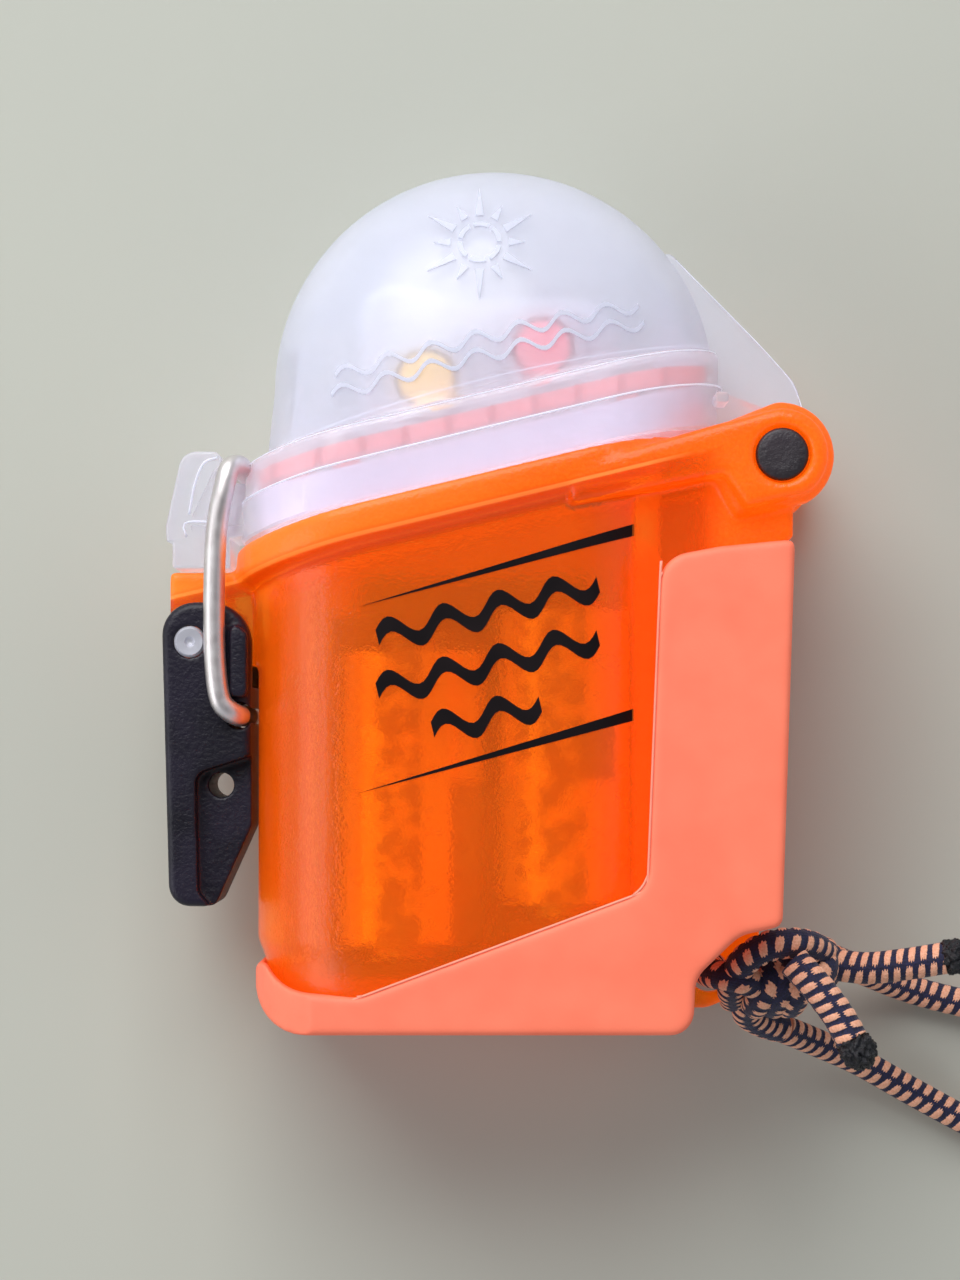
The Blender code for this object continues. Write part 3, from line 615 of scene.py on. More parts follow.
def charred_material():
    """Melted cord end: black, lumpy and glossy."""
    n = Nodes("melted_cord")
    lumps = n.noise(2400, 4, 0.7)
    n.set(Base_Color=n.mix(n.ramp(lumps, 0.4, 0.75), (0.002, 0.002, 0.004), (0.016, 0.016, 0.024)),
          Roughness=n.ramp(lumps, 0.3, 0.7, 0.15, 0.5), Normal=n.bump(lumps, 0.9, 0.0003))
    return n.owner


def core_material():
    """Pale core cover: a bright flange under a greyer box, with a fine grain."""
    n = Nodes("white_core")
    box = n.ramp(n.above_seam(), 4.6 * MM, 5.6 * MM)
    fine = n.noise(1800, 3, 0.6)
    grey = n.mix(n.ramp(fine, 0.3, 0.7), (0.62, 0.63, 0.66), (0.68, 0.69, 0.72))
    n.set(Base_Color=n.mix(box, (0.86, 0.70, 0.82), grey), Roughness=0.5,
          Normal=n.bump(fine, 0.15, 0.00003))
    return n.owner


def ribbed_rubber():
    """Red rubber, darker in its upright ribs, with a painted glow from its emission."""
    n = Nodes("red_rubber")
    x, _, _ = n.axes()
    across = n.math("PINGPONG", x, GASKET_PITCH / 2 * MM)
    rib = n.ramp(across, GASKET_RIB * 0.35 * MM, GASKET_RIB * 0.75 * MM, 1, 0)
    fine = n.noise(900, 3)
    skin = n.mix(n.ramp(fine, 0.35, 0.65), (0.66, 0.09, 0.09), (0.78, 0.14, 0.13))
    n.set(Base_Color=n.mix(rib, skin, (0.55, 0, 0)), Roughness=0.6,
          Emission_Color=n.mix(rib, (1, 0.07, 0.06), (0.75, 0, 0)), Emission_Strength=0.35,
          Normal=n.bump(fine, 0.2, 0.00005))
    return n.owner


def battery_material():
    """Golden cell wrap with a dark mottled panel down its front, in place of its print, and painted
    shade between the cells.
    """
    n = Nodes("battery_wrap")
    x, y, _ = n.axes()
    is_right = n.math("GREATER_THAN", x, 0)
    middle = n.math("MULTIPLY_ADD", is_right, (CELL_RIGHT - CELL_LEFT) * MM, CELL_LEFT * MM)
    across = n.math("SUBTRACT", x, middle)
    blotch = n.ramp(n.noise(330, 3, 0.6), 0.40, 0.54)
    speckle = n.ramp(n.noise(700, 2, 0.5), 0.45, 0.6)
    wide_panel = n.times(n.band(across, -3.4, 0.8, 0.9), blotch)
    narrow_panel = n.times(n.band(across, -6.3, -5, 0.5), speckle)
    corner = n.times(n.band(across, 0.6, 4, 0.8), n.band(y, -20, -15, 1))
    right_only = n.times(n.most(narrow_panel, corner), is_right)
    # Painted shade: the left cell is darkened low down beside the gap between the cells.
    painted_gap_shade = n.times(n.band(across, 4.8, 8.4, 0.5), n.ramp(y, -21.5 * MM, -20 * MM, 1, 0))
    left_only = n.times(painted_gap_shade, n.math("SUBTRACT", 1, is_right))
    foot = n.band(n.math("MULTIPLY_ADD", is_right, -4.5 * MM, y), -41.8, -38.8, 0.4)
    dark = n.most(n.most(wide_panel, right_only), n.most(left_only, foot))
    n.set(Base_Color=n.mix(n.times(dark, 0.8), (1, 0.76, 0.26), (0.10, 0.05, 0.02)),
          Metallic=0.6, Roughness=n.ramp(blotch, 0, 1, 0.26, 0.4))
    return n.owner


def floor_material():
    """Plain pale table top with a faint mottle."""
    n = Nodes("table_top")
    mottle = n.noise(9, 2)
    n.set(Base_Color=n.mix(n.ramp(mottle, 0.3, 0.7), (0.51, 0.52, 0.46), (0.54, 0.55, 0.48)),
          Roughness=0.7)
    return n.owner


ORANGE = orange_material()
# The lid's glow of 0.12 is a painted glow.
FROSTED = frosted_material("frosted_clear", 0.35, 0.25, 0.12)
MARKED = frosted_material("frosted_marks", 0.85, 0.3)
# Painted highlight: pale, glowing frosted plastic for the beads on the lid's edges.
PAINTED_EDGE_HIGHLIGHT = frosted_material("frosted_edge_highlights", 0.9, 0.3, 0.25)
BRAID = braid_material("braided_cord", 0.46, 0.29)
KNOT_BRAID = braid_material("braided_knot", 0.38, 0.26)
STEEL = steel_material()
CHARRED = charred_material()
# Painted glow: the coral's reddish emission keeps its shaded sides saturated.
CORAL = moulded("coral_bumper", (0.95, 0.20, 0.11), (1, 0.23, 0.13), 0.62, 2600, 0.4, 0.00005,
                Emission_Color=(1, 0.10, 0.04, 1), Emission_Strength=0.1)
# Painted highlight: paler coral for thin tubes along the bumper's edges.
CORAL_HIGHLIGHT = moulded("coral_edge_highlight", (1, 0.30, 0.20), (1, 0.35, 0.24), 0.5, 2600)
BLACK = moulded("black_plastic", (0.006, 0.005, 0.011), (0.014, 0.011, 0.024), 0.40, 1900, 0.8,
                0.00012, Specular_IOR_Level=0.35)
RED = ribbed_rubber()
INK = moulded("printed_ink", (0.003, 0.001, 0.002), (0.008, 0.004, 0.005), 0.6,
              Specular_IOR_Level=0.15)
GRAINED = moulded("grained_black", (0.016, 0.012, 0.016), (0.035, 0.026, 0.034), 0.45, 2400, 0.8,
                  0.00012)
PIN = moulded("brushed_pin", (0.66, 0.66, 0.74), (0.78, 0.78, 0.86), 0.35, Metallic=0.6)


def dress(material, *names):
    """Gives CAD nodes a material."""
    for name in names:
        mesh = frame["nodes"][name].data
        mesh.materials.clear()
        mesh.materials.append(material)


def dress_nodes():
    """Gives every CAD node that no piece replaces its material."""
    dress(STEEL, "hinge_pin", "core_screw_left", "core_screw_right", "antenna_tape")
    dress(BLACK, "board_connector")
    # The cradle is dark plastic; its brown tint is a painted reflection of the orange case round it.
    dress(moulded("cradle_brown", (0.030, 0.018, 0.012), (0.055, 0.034, 0.022), 0.5), "battery_cradle")
    dress(core_material(), "core_housing")
    # The buttons' emission is a painted glow, for the light that reaches them through the dome.
    dress(moulded("yellow_cap", (0.98, 0.60, 0.04), (1, 0.68, 0.08), 0.5, Emission_Strength=0.35,
                  Emission_Color=(1, 0.6, 0.08, 1)), "yellow_button")
    dress(moulded("red_cap", (0.95, 0.10, 0.12), (1, 0.15, 0.17), 0.5, Emission_Strength=0.35,
                  Emission_Color=(1, 0.15, 0.2, 1)), "red_button")
    dress(moulded("nickel_contact", (0.5, 0.48, 0.44), (0.66, 0.64, 0.6), 0.3, Metallic=1),
          "yellow_switch", "red_switch", "contact_left", "contact_right", "contact_pad_left",
          "contact_pad_right")
    dress(moulded("green_board", (0.02, 0.13, 0.05), (0.03, 0.2, 0.08), 0.4), "button_board",
          "radio_board")
    dress(moulded("tan_ceramic", (0.5, 0.4, 0.28), (0.6, 0.5, 0.36), 0.6), "gps_patch")
    dress(moulded("clear_lens", (0.9, 0.93, 0.97), (0.96, 0.97, 1), 0.12, Transmission_Weight=0.9),
          "strobe_lens")
    dress(battery_material(), "battery_left", "battery_right")


# ---- case

WEB_CORNERS = [(19, -34, 0), (30, -34, 0), (30.2, -38.4, 1), (28, -40.4, 1.5), (28, -44.6, 2),
               (24.2, -46.2, 1.5), (19, -46.2, 0)]
PILLAR_CORNERS = [(14, BOTTOM + 1, 0), (14, 13, 0), (33, 17, 0), (33, 6, 0), (32, 5.4, 0),
                  (30.6, -35.7, 1), (26.4, -36.5, 3.5), (21.3, -41.2, 2.5), (20.85, BOTTOM + 1, 1)]
PILLAR_INSET = 4.2
BUMPER_GAP = 0.3

# (height over the rim's top edge, share of the way from the body's section to the rim's)
LIP_PROFILE = [(-13, 0), (-7.8, 0.01), (-6.1, 0.05), (-5.1, 0.16), (-4.5, 0.36), (-4.15, 0.62),
               (-3.9, 0.84), (-3.5, 0.96), (-3, 1), (-1.2, 1), (-0.6, 0.95), (-0.25, 0.82)]


def case_barrel(extra=0):
    """The oval compartment's outside, closed at both ends, with the rim's lip."""
    rings = []
    for rise, inset, share in ((1, 3, 1), (1.5, 1.2, 1), (3, 0.2, 1), (7.5, 0, 1), (10, 0, 0)):
        sizes = between(BODY, FOOT, share)
        rings.append([(x, BOTTOM + rise, z) for x, z in section(sizes, inset - extra)])
    for height, share in LIP_PROFILE:
        sizes = between(BODY, RIM, share)
        rings.append([(x, seam_height(x, z) + height, z) for x, z in section(sizes, -extra)])
    rings.append([(x, seam_height(x, z) - 0.25, z) for x, z in section(BODY, 3 - extra)])
    return loft(rings)


def hinge_ear(low, high, growth=0):
    """One of the two ears that the rim runs into, rounded about the hinge pin."""
    tip = arc(HINGE, 5 + growth, 95, -58, 20)
    root = [(27.6 - growth, 9.1 - growth), (25.2 - growth, 12.7), (8.5, rim_height(8.5) - 4.6),
            (8.5, rim_height(8.5) - 0.4), (24.5, rim_height(24.5) + 0.3)]
    return slab(tip + root, low, high, edge=0.9)


def make_case():
    """Translucent orange case with its rim, ears, lug and lanyard web."""
    case = case_barrel()
    pillar = slab(rounded(PILLAR_CORNERS), PILLAR_INSET, DEPTH - PILLAR_INSET)
    web = slab(rounded(WEB_CORNERS), MIDDLE - 2, MIDDLE + 2)
    lug_tip = arc(LEVER_PIN, 2.5, 180, 270, 10)
    lug_root = [(-24, LEVER_PIN[1] - 2.5), (-24, 2.6), (LEVER_PIN[0] - 2.5, 2.6)]
    lug = slab(lug_tip + lug_root, MIDDLE - 5.9, MIDDLE + 5.9, edge=0.3)
    combine(case, "UNION", pillar, hinge_ear(30.3, DEPTH), hinge_ear(0, 8.7),
            hinge_ear(30.3, 36.2, 0.9), hinge_ear(2.8, 8.7, 0.9), web, lug)
    cavity = slab(section(BODY, 2), BOTTOM + 3, 30, along="Y")
    cuts = [cylinder(HINGE, PIN_BORE, -1, DEPTH + 1), cylinder(HINGE, 3.15, 36.8, DEPTH + 1),
            cylinder(HINGE, 3.15, -1, 2.2), cylinder(HINGE, 5.3, 8.7, 30.3),
            block((24.8, rim_height(24.8) - 3.5, 8.7), (40, 26, 30.3)),
            cylinder(LEVER_PIN, PIN_BORE, 0, DEPTH),
            cylinder((24.6, -42.2), 2.3, MIDDLE - 4, MIDDLE + 4)]
    flange_seat = slanted(section(SKIRT, 1.6), 0, 6)
    combine(case, "DIFFERENCE", cavity, flange_seat, *cuts)
    soften(case, 0.34, 10, 0.35)
    finish(case, "orange_case", "case", ORANGE, "case_shell")


def make_printing():
    """Black printing on the case's front: two tapering bars and three rows of waves."""
    bars = [[(-14.3, -1.6), (15.6, 7.5), (15.6, 6.2)], [(-14.5, -21.9), (15.5, -12.7), (15.5, -14)]]
    rows = []
    for start, end, waves in (((-12.4, -5), (11.6, 0.8), 4), ((-12.4, -10.8), (11.6, -5), 4),
                              ((-6.4, -15), (5.3, -12.2), 2)):
        rows.append(wave_band(start, end, waves, 1.15, 1.7))
    prints = slabs(bars + rows, MIDDLE + 8, DEPTH + 1)
    combine(prints, "INTERSECT", case_barrel(0.10))
    combine(prints, "DIFFERENCE", case_barrel(-0.2))
    finish(prints, "printed_waves", "case", INK, sharp=30)


def make_bumper():
    """Soft coral overmould with rolled edges, and thin tubes of paler coral along its front and back
    edges as painted highlights.
    """
    outline = rounded([(-26.2, -38.6, 0.9), (-23, -43.4, 5.5), (-14.35, -44, 4), (16.9, -32.4, 3.5),
                       (18.4, 3.7, 3.5), (24.75, 4.9, 3), (33, 5.7, 0.8), (31.55, -36.3, 1.2),
                       (26.9, -37.3, 4), (22.1, -41.9, 3.5), (21.85, BOTTOM, 2.6),
                       (-26.2, BOTTOM, 5.6)])
    bumper = slab(outline, 0, 38.2, edge=0.7)
    limit = rounded(rectangle(-26.2, 40, -2, DEPTH + 2, 15.5), 12)
    combine(bumper, "INTERSECT", slab(limit, BOTTOM - 5, 25, along="Y"))
    inset = PILLAR_INSET - BUMPER_GAP
    pillar = slab(rounded(grown(PILLAR_CORNERS, BUMPER_GAP)), inset, DEPTH - inset)
    web = slab(rounded(grown(WEB_CORNERS, BUMPER_GAP)), MIDDLE - 2.3, MIDDLE + 2.3)
    combine(bumper, "DIFFERENCE", case_barrel(BUMPER_GAP), pillar, web)
    soften(bumper, 0.3, 5, 0.45)
    finish(bumper, "soft_bumper", "case", CORAL, "case_bumper")
    window = [point for point in outline if -14.6 < point.x < 18.6 and -44.2 < point.y < 3]
    for name, height in (("bumper_highlight_front", 37.85), ("bumper_highlight_back", 0.35)):
        route = smooth_route([(x, y, height) for x, y in window], 0.6)
        finish(tube(route, 8, 0.15), name, "case", CORAL_HIGHLIGHT)


# ---- lid

DOME_X = 0.35
DOME_Y = 23.3
DOME_RADIUS = 24.8
DOME_DEPTH = 17.5
DOME_FLATTEN = DOME_DEPTH / DOME_RADIUS
DOME_BASE_RADIUS = 26.2
DOME_BASE_DROP = 13
SPOKES = 160
LID_WALL = 1.7
HOOK_REACH = 9
FIN_REACH = 1.2
KNUCKLE = (9, 30)  # the lid's stretch along the hinge pin

# (inset, height over the rim's top edge) up the skirt's outside
SKIRT_PROFILE = [(0.25, 0.15), (0, 0.45), (0, 4.4), (0.05, 4.65), (0.32, 4.75), (0.35, 5), (0.35, 8),
                 (0.5, 8.5), (0.85, 8.8), (1.3, 8.95)]


def dome_radius(y, shrink):
    """Half width of the dome at height y."""
    rise = y - DOME_Y
    if rise < 0:
        return DOME_RADIUS - shrink - (DOME_BASE_RADIUS - DOME_RADIUS) * rise / DOME_BASE_DROP
    radius = DOME_RADIUS - shrink
    return sqrt(max(radius * radius - rise * rise, 0))


def dome_ring(middle, slope, arch, shrink):
    """Points round the dome at a height, sloping across X and arching up to front and back."""
    ring = []
    depth = (DOME_DEPTH - shrink) / (DOME_RADIUS - shrink)
    for spoke in range(SPOKES):
        angle = tau * spoke / SPOKES
        lifted = middle + arch * (DOME_DEPTH * sin(angle) / MIDDLE) ** 2
        height = lifted
        for _ in range(12):
            height = lifted + slope * dome_radius(height, shrink) * cos(angle)
        radius = dome_radius(height, shrink)
        ring.append((DOME_X + radius * cos(angle), height,
                     MIDDLE + radius * depth * sin(angle)))
    return ring


def skirt_ring(inset, height):
    """Points round the skirt's section at a height over the rim, in the dome's directions."""
    left, right, back, front, corner = SKIRT
    half = Vector(((right - left) / 2 - corner, (front - back) / 2 - corner))
    centre = Vector(((left + right) / 2, (back + front) / 2))
    ring = []
    for spoke in range(SPOKES):
        angle = tau * spoke / SPOKES
        way = Vector((cos(angle), DOME_FLATTEN * sin(angle))).normalized()
        near, far = 0, 40
        for _ in range(24):
            reach = (near + far) / 2
            place = Vector((DOME_X, MIDDLE)) + way * reach - centre
            past = Vector((max(abs(place.x) - half.x, 0), max(abs(place.y) - half.y, 0)))
            if past.length > corner - inset:
                far = reach
            else:
                near = reach
        x = DOME_X + way.x * near
        z = MIDDLE + way.y * near
        ring.append((x, seam_height(x, z) + height, z))
    return ring


def dome_rings(shrink, first, count):
    """Rings from the dome's foot, parallel to the rim, to its level top."""
    foot = rim_height(DOME_X) + first
    top = DOME_Y + DOME_RADIUS - shrink
    rings = []
    for step in range(count):
        share = step / count
        rise = sin(share * pi / 2)
        level = (1 - share) ** 1.6
        rings.append(dome_ring(foot + (top - foot) * rise, SLOPE * level, SEAM_ARCH * level, shrink))
    rings.append([(DOME_X + 0.02 * cos(tau * k / SPOKES), top,
                   MIDDLE + 0.02 * sin(tau * k / SPOKES)) for k in range(SPOKES)])
    return rings


def lid_shell():
    """Dome, ledge and skirt as one skin with an inside and an outside."""
    outside = [skirt_ring(inset, height) for inset, height in SKIRT_PROFILE]
    knee = dome_ring(rim_height(DOME_X) + 9.7, SLOPE, SEAM_ARCH, 0)
    ledge = []
    for a, b in zip(skirt_ring(1.4, 9), knee):
        ledge.append(Vector(a).lerp(Vector((b[0], b[1] - 0.5, b[2])), 0.72))
    outside += [ledge, knee] + dome_rings(0, 10.9, 44)
    inside = [skirt_ring(LID_WALL, 0.15), skirt_ring(LID_WALL, 7.9), skirt_ring(2.3, 8.1)]
    inside += dome_rings(LID_WALL, 9.4, 30)
    return loft(inside[::-1] + outside)


def make_dome_marks():
    """Raised beads moulded on the dome's front: a sun over two rows of waves."""
    sun = (-1.3, 38.6)
    shapes = [wave_band((-17.6, 21.9), (16.8, 29.9), 7, 0.75, 0.5),
              wave_band((-17.2, 24), (16.2, 31.8), 7, 0.75, 0.5)]
    for ray in range(12):
        angle = tau * ray / 12
        out = Vector((cos(angle), sin(angle)))
        side = Vector((-out.y, out.x))
        reach = 6.6 if ray % 2 else 5
        near, far = Vector(sun) + out * 3.2, Vector(sun) + out * reach
        shapes.append([near - side * 0.45, far, near + side * 0.45])
    for start in range(0, 360, 60):
        shapes.append(arc(sun, 2.4, start, start + 48, 6) + arc(sun, 1.9, start + 48, start, 6))
    marks = slabs(shapes, MIDDLE + 4, DEPTH + 2)
    combine(marks, "INTERSECT", loft(dome_rings(-0.3, 9.6, 44)))
    combine(marks, "DIFFERENCE", loft(dome_rings(0.3, 9.6, 44)))
    finish(marks, "dome_beads", "lid", MARKED, sharp=30)


def latch_hook():
    """The block at the lid's left end that holds the bail's bar, with sunk panels on its faces."""
    profile = rounded([(-35.35, 2.9, 0.4), (-35.35, 5.7, 0.2), (-36, 5.9, 0.3), (-36.1, 7.6, 1),
                       (-34.3, 15.9, 1.9), (-30.2, 15.9, 0.9), (-29.4, 12.5, 1), (-27, 12.3, 0),
                       (-27, 6.6, 0), (-28.9, 6.2, 0), (-28.9, 2.9, 0)], 6)
    hook = slab(profile, MIDDLE - HOOK_REACH, MIDDLE + HOOK_REACH, edge=0.35)
    panel = rounded([(-33.3, 8.4, 0.3), (-30.6, 14.2, 1), (-26, 14.2, 0), (-26, 8.4, 0)], 4)
    step = rounded([(-33.3, 7.1, 0.2), (-33.3, 7.7, 0.2), (-26, 7.7, 0), (-26, 7.1, 0)], 3)
    for low, high in ((MIDDLE + 8.1, MIDDLE + 10), (MIDDLE - 10, MIDDLE - 8.1)):
        combine(hook, "DIFFERENCE", slabs([panel, step], low, high))
    return hook


def make_lid():
    """Clear frosted lid: shell, hinge knuckle with its fin, thumb rest and latch hook."""
    lid = lid_shell()
    fin_outline = rounded([(19, 22, 0), (18.4, 38.6, 0), (20.3, 38.9, 1), (34.6, 24, 5),
                           (36.1, 14.9, 0), (31.5, 14.9, 0), (27, 20, 0)], 10)
    strap = slab(rounded([(24.8, 18.6, 0), (24.8, 22.6, 0), (33, 19.45, 0), (31.5, 14.9, 0),
                          (28.2, 15.5, 0)]), *KNUCKLE)
    thumb_rest = rounded([(-20.5, 27.6, 0), (-24.6, 26.6, 1.2), (-28, 22.9, 0.5), (-27.7, 21.2, 0.5),
                          (-25.8, 18.4, 1), (-20.5, 17.6, 0)], 6)
    tab = rounded(rectangle(24.4, 25.9, 20.6, 21.8, 0.35), 4)
    combine(lid, "UNION", strap, slab(thumb_rest, MIDDLE - 6, MIDDLE + 6, edge=0.8),
            latch_hook(), slab(fin_outline, MIDDLE - FIN_REACH, MIDDLE + FIN_REACH, edge=0.3),
            cylinder(HINGE, 4.6, *KNUCKLE), slab(tab, MIDDLE + 8, 36.6, edge=0.25))
    reach = BAIL_HALF_DEPTH + 1.1
    bar_x, bar_y = BAIL_BAR
    combine(lid, "DIFFERENCE", cylinder(BAIL_BAR, 1.5, MIDDLE - reach, MIDDLE + reach),
            block((bar_x - 1.5, bar_y, MIDDLE - reach), (bar_x + 1.5, bar_y + 6, MIDDLE + reach)),
            cylinder(HINGE, PIN_BORE, 0, DEPTH))
    finish(lid, "clear_lid", "lid", FROSTED, "lid_dome", sharp=40)


def make_edge_highlights():
    """Thin glowing beads on the lid's edges, the hook's facet edges and the fin: painted highlights
    where the light catches them.
    """
    foot = dome_ring(rim_height(DOME_X) + 10.2, SLOPE, SEAM_ARCH, 0.1)
    beads = []
    for ring, radius in ((skirt_ring(0.05, 4.65), 0.11), (skirt_ring(0.62, 8.6), 0.07), (foot, 0.05)):
        beads.append(tube([Vector(point) for point in [*ring, ring[0]]], 8, radius))
    hook_face = MIDDLE + HOOK_REACH
    for corners, z, radius in (([(-33.8, 6.4), (-33.8, 8), (-29.4, 8)], hook_face, 0.11),
                               ([(-33.5, 8.9), (-32.9, 12.2), (-31.9, 14.6), (-30.4, 15.2)],
                                hook_face, 0.13),
                               ([(20.9, 38.1), (31.6, 27.1), (34.7, 22.6), (35.7, 17)],
                                MIDDLE + FIN_REACH - 0.1, 0.06)):
        beads.append(tube(smooth_route([(x, y, z) for x, y in corners], 0.5), 8, radius))
    combine(beads[0], "UNION", *beads[1:])
    finish(beads[0], "lid_edge_highlights", "lid", PAINTED_EDGE_HIGHLIGHT)


def make_gasket():
    """Red ring under the lid's shoulder, with small upright ribs round its edge.

    It is arched as the joint between case and lid is.
    """
    edge = []
    for place, outward in walk(section(SKIRT, 2.15, 16), 0.25):
        on_rib = abs((place.x + GASKET_PITCH / 2) % GASKET_PITCH - GASKET_PITCH / 2) < GASKET_RIB / 2
        edge.append(place + outward * (0.3 if on_rib else 0))
    ring = slanted(edge, 5.6, 7.2)
    for vertex in ring.data.vertices:
        vertex.co.y += seam_height(0, vertex.co.z) - RIM_HEIGHT
    combine(ring, "DIFFERENCE", slanted(section(SKIRT, 4.6), 5, 10))
    finish(ring, "ribbed_gasket", "lid", RED, "lid_gasket", sharp=30)


# ---- latch

def make_lever():
    """Black latch lever with its fork, shoulders, recess and lashing hole."""
    outline = rounded([(-36.55, -0.85, 3.6), (-26.6, -0.85, 4.6), (-26.6, -25.7, 1),
                       (-30.6, -34.5, 1), (-35.6, -34.5, 2.4)])
    lever = slab(outline, 9.5, 29.5, edge=0.8)
    guard = rounded([(-28.9, -2.6, 0.7), (-26.9, -4.4, 0.7), (-26.9, -11.4, 0.7),
                     (-28.9, -11.4, 0.7)])
    combine(lever, "UNION", slab(guard, 7.9, 31.1, edge=0.4))
    recess = rounded([(-24, -17, 0), (-32.75, -19.8, 1.6), (-32.4, -33, 1.2), (-28, -38, 0),
                      (-24, -38, 0)])
    combine(lever, "DIFFERENCE", block((-40, -10.15, 13.3), (-20, 4, 25.7)),
            slab(recess, 27.3, 32), slab(recess, 6, 11.7),
            cylinder((-29.95, -21.1), 1.4, 0, DEPTH),
            cylinder(LEVER_PIN, PIN_BORE, 0, DEPTH), cylinder(BAIL_PIVOT, 1.5, 0, DEPTH))
    soften(lever, 0.22, 5, 0.4)
    finish(lever, "black_lever", "lever", BLACK, "latch_lever")


def make_bail():
    """Bowed spring-wire loop from the lever up to the lid's hook."""
    pivot_x, pivot_y = BAIL_PIVOT
    bar_x, bar_y = BAIL_BAR
    leg = BAIL_HALF_DEPTH
    half = [(pivot_x, pivot_y, leg - 3.8), (pivot_x, pivot_y, leg - 1.6),
            (pivot_x - 0.9, pivot_y + 0.5, leg - 0.3), (-29.9, -11.5, leg), (-30.45, -7, leg),
            (-30.55, 0, leg), (-30.3, 7, leg), (-29.5, 11.6, leg),
            (bar_x - 0.9, bar_y - 0.4, leg - 0.7), (bar_x, bar_y, leg - 2.8), (bar_x, bar_y, 3)]
    front = [(x, y, MIDDLE + z) for x, y, z in half]
    back = [(x, y, MIDDLE - z) for x, y, z in reversed(half)]
    wire = tube(smooth_route(front + back, 0.6), 24, WIRE_RADIUS)
    finish(wire, "bail_wire", "bail", STEEL, "wire_bail", sharp=50)


def make_pin_ends():
    """Latch pin with dimpled heads, and the black plugs over the hinge pin's ends."""
    head = MIDDLE - 10.1
    profile = [(0.02, head + 0.35), (0.35, head + 0.3), (0.6, head + 0.05), (1.45, head),
               (1.75, head + 0.3), (1.75, head + 0.8), (1.5, head + 0.9)]
    mirrored = [(radius, 2 * MIDDLE - z) for radius, z in reversed(profile)]
    pin = turned(LEVER_PIN, profile + mirrored)
    finish(pin, "lever_pin", "case", PIN, "latch_pin", sharp=30)
    plug = [(0.02, 37.15), (2.85, 37.15), (2.85, 38.3), (2.72, 38.52), (2.5, 38.62), (1.6, 38.56),
            (0.02, 38.52)]
    for name, profile in (("front", plug), ("back", [(r, DEPTH - z) for r, z in plug])):
        finish(turned(HINGE, profile), f"hinge_plug_{name}", "case",
               GRAINED, f"hinge_cap_{name}", sharp=50)


# ---- cords

CORD_RADIUS = 1.75
TAIL_RADIUS = 1.9
FLOAT_PITCH = 1.5
TAIL_PITCH = 1.35
BRAID_ROWS = 4
BRAID_SIDES = 36
BRAID_RELIEF = 0.2

LOOP_ROUTE = [(33.6, -49.3, 10.4), (37.4, -51, 7.2), (42.8, -53.5, 4.2), (49.3, -57.2, 2.4),
              (56.5, -61.1, 2), (70, -68, 2), (86, -74.4, 2), (101, -77.6, 2), (113.5, -77, 2),
              (123, -72.4, 2), (127.2, -64.9, 2), (123.4, -57.3, 2), (113.5, -53.6, 2),
              (101, -52.4, 2), (86, -51.6, 2), (70, -49.9, 2), (55, -46.8, 2), (48.4, -45, 2.8),
              (42.6, -42.6, 7), (39.3, -41.2, 11.6)]
FRONT_TAIL_ROUTE = [(33.4, -40.6, 29.3), (35.6, -43, 30.3), (38, -46.2, 30.8), (39.6, -49, 31.2)]
SIDE_TAIL_ROUTE = [(38, -41.2, 22.4), (42, -41.6, 23.2), (46.5, -41.1, 24), (50.6, -40.4, 24.6)]


def braid_height(across, along):
    """Height of the braid over the cord's core: rounded floats with grooves between them."""
    row = round(across)
    a = across - row
    b = along + row * 0.5 + a * 0.35
    b -= round(b)
    bulge = max(0, 1 - abs(a / 0.46) ** 2.5 - abs(b / 0.40) ** 2.5)
    cross = max(0, 1 - abs((abs(a) - 0.5) / 0.3) ** 2)
    return max(bulge ** 0.6, 0.45 * cross)


def braided_tube(name, route, material, node=None, radius=CORD_RADIUS, pitch=FLOAT_PITCH):
    """A cord with a real braided surface along a route, and its map of rows and floats."""
    step = pitch / 9
    centres = smooth_route(route, step)

    def reach(spoke, index):
        height = braid_height(BRAID_ROWS * spoke / BRAID_SIDES, index * step / pitch)
        return radius - BRAID_RELIEF + BRAID_RELIEF * height

    bm = skinned(swept_rings(centres, BRAID_SIDES, reach))
    braid = bm.loops.layers.uv.new("braid")
    for number, face in zip(range(BRAID_SIDES * (len(centres) - 1)), bm.faces):
        index, spoke = divmod(number, BRAID_SIDES)
        marks = ((spoke, index), (spoke + 1, index), (spoke + 1, index + 1), (spoke, index + 1))
        for loop, (around, forward) in zip(face.loops, marks):
            loop[braid].uv = (BRAID_ROWS * around / BRAID_SIDES, forward * step / pitch)
    return finish(bm, name, "case", material, node), centres


KNOT_CENTRE = (33.6, -42.9, 19.5)
KNOT_WRAPS = 3
HITCH_ROUTE = [(29.4, -43.4, 25), (27.6, -42.6, 26.4), (25.6, -42.3, 25.4), (24.6, -42.2, 22.3),
               (24.6, -42.2, 16.7), (25.4, -42.2, 13.6), (27.4, -42.4, 12.6), (29.4, -43, 13.6)]
OVER_ROUTE = [(27.4, -45.2, 18.5), (26.9, -43.2, 24), (28, -40.6, 27.8), (30.6, -38.9, 28.9),
              (33.8, -38.6, 28), (36.6, -39.6, 24.6), (38, -42, 19), (36.8, -44.4, 13.6)]
UNDER_ROUTE = [(31, -43.6, 21.5), (29, -45.6, 18.5), (29.2, -47.2, 15.2), (31.2, -48.5, 12.4),
               (33.4, -49.22, 10.55)]
RETURN_ROUTE = [(33.6, -41.4, 16), (36.4, -40.9, 14), (39.2, -41.18, 11.7)]


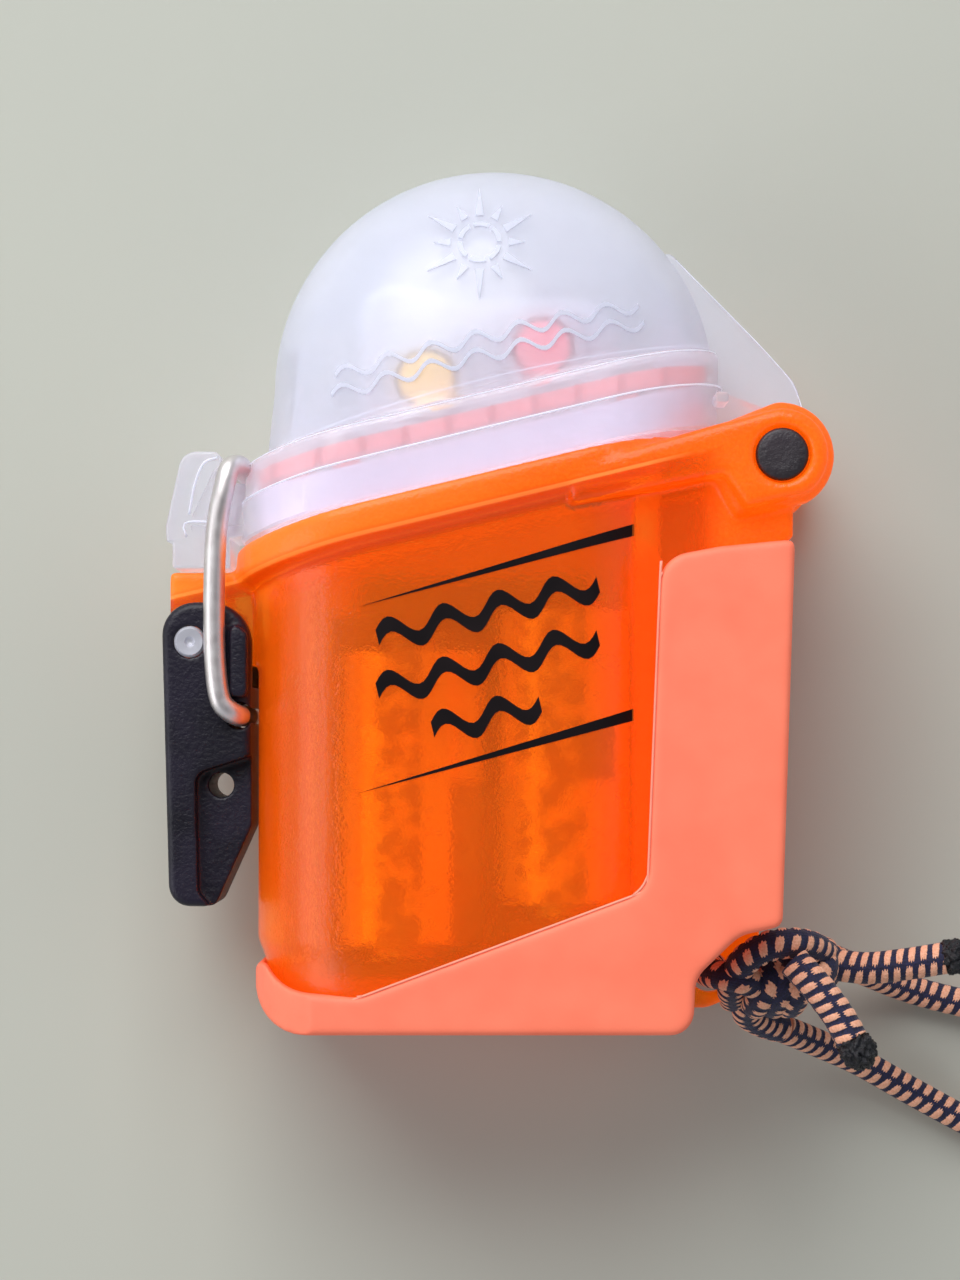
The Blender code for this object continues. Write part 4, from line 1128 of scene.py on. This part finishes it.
def knot_route():
    """Leaning wraps of the cord about the knot's own X axis."""
    x, y, z = KNOT_CENTRE
    route = []
    steps = 12
    for step in range(KNOT_WRAPS * steps + 4):
        angle = tau * step / steps
        share = step / (KNOT_WRAPS * steps)
        route.append((x - 3.2 + 5.6 * share + 1.5 * cos(angle), y + 2.9 * cos(angle),
                      z + 5.7 * sin(angle)))
    return route


def melted_end(name, route, node):
    """The black lump that the cut cord's end was melted into."""
    points = smooth_route(route, 2.4)
    ahead = (points[-1] - points[-2]).normalized()
    centre = points[-1] + ahead * 1.2
    bm = bmesh.new()
    bmesh.ops.create_icosphere(bm, subdivisions=5, radius=1)
    for vert in bm.verts:
        out = vert.co.copy()
        near, next_near = noise.voronoi(out * 2.4 + centre)[0][:2]
        lump = (next_near - near) ** 0.5 + 0.5 * noise.noise(out * 5 + centre)
        along = out.dot(ahead)
        vert.co = centre + out * (1.65 + 0.65 * lump) + ahead * 0.35 * along
    return finish(bm, name, "case", CHARRED, node)


def make_lanyard():
    """The wrist loop with the tails, melted ends, knot and hitch that are on it."""
    loop, centres = braided_tube("wrist_loop", LOOP_ROUTE, BRAID, "lanyard_loop")
    for side, route in (("front", FRONT_TAIL_ROUTE), ("side", SIDE_TAIL_ROUTE)):
        (braided_tube(f"cut_tail_{side}", route, BRAID, f"{side}_tail", TAIL_RADIUS,
                                    TAIL_PITCH)[0])
    for name, route, node in (("hitch_through_web", HITCH_ROUTE, "lanyard_hitch"),
                              ("knot_wraps", knot_route(), "lanyard_knot"),
                              ("knot_over", OVER_ROUTE, None), ("knot_under", UNDER_ROUTE, None),
                              ("knot_return", RETURN_ROUTE, None)):
        braided_tube(name, route, KNOT_BRAID, node)[0]
    melted_end("front_melt", FRONT_TAIL_ROUTE, "front_tail_end")
    melted_end("side_melt", SIDE_TAIL_ROUTE, "side_tail_end")


# ---- stage

def aimed(name, data, place, target):
    """An object that looks from a place towards a target, both in metres."""
    holder = add_object(name, data)
    holder.location = place
    holder.rotation_mode = "QUATERNION"
    holder.rotation_quaternion = (target - place).to_track_quat("-Z", "Y")
    return holder


def make_world():
    """Pale sky that is dimmer straight above, so that it doesn't mirror in the front."""
    n = Nodes("studio", bpy.data.worlds, "Background")
    bpy.context.scene.world = n.owner
    sky = n.add("ShaderNodeTexCoord").outputs["Generated"]
    upwards = n.add("ShaderNodeSeparateXYZ", Vector=sky).outputs["Z"]
    n.set(Color=(0.90, 0.94, 1, 1), Strength=n.ramp(upwards, 0.6, 0.95, 0.55, 0.08))


def make_stage():
    """Floor, soft lights and the camera straight above the front face."""
    bpy.ops.mesh.primitive_plane_add(size=6)
    floor = bpy.context.object
    floor.name = "floor"
    floor.data.materials.append(floor_material())
    for name, place, size, power in (("window", (-0.25, 0.75, 0.75), 0.9, 12),
                                     ("left_fill", (-0.9, -0.15, 0.5), 0.6, 2.2)):
        lamp = bpy.data.lights.new(name, "AREA")
        lamp.energy = power
        lamp.size = size
        aimed(name, lamp, Vector(place), Vector((0, 0, 0)))
    lens = bpy.data.cameras.new("camera")
    lens.sensor_width = 36
    lens.lens = 112
    lens.clip_start = 0.01
    lens.clip_end = 20
    bpy.context.scene.camera = aimed("camera", lens, Vector((-1.25, -16.4, 469.5)) * MM,
                                     Vector((-1.25, -4.8, 19.5)) * MM)
    bpy.context.scene.view_settings.view_transform = "Standard"


make_world()
make_stage()
dress_nodes()
for make in (make_case, make_printing, make_bumper, make_lid, make_dome_marks, make_edge_highlights,
             make_gasket, make_lever, make_bail, make_pin_ends):
    make()
for temporary in list(WORKSHOP.objects):
    bpy.data.objects.remove(temporary)
bpy.data.collections.remove(WORKSHOP)
make_lanyard()
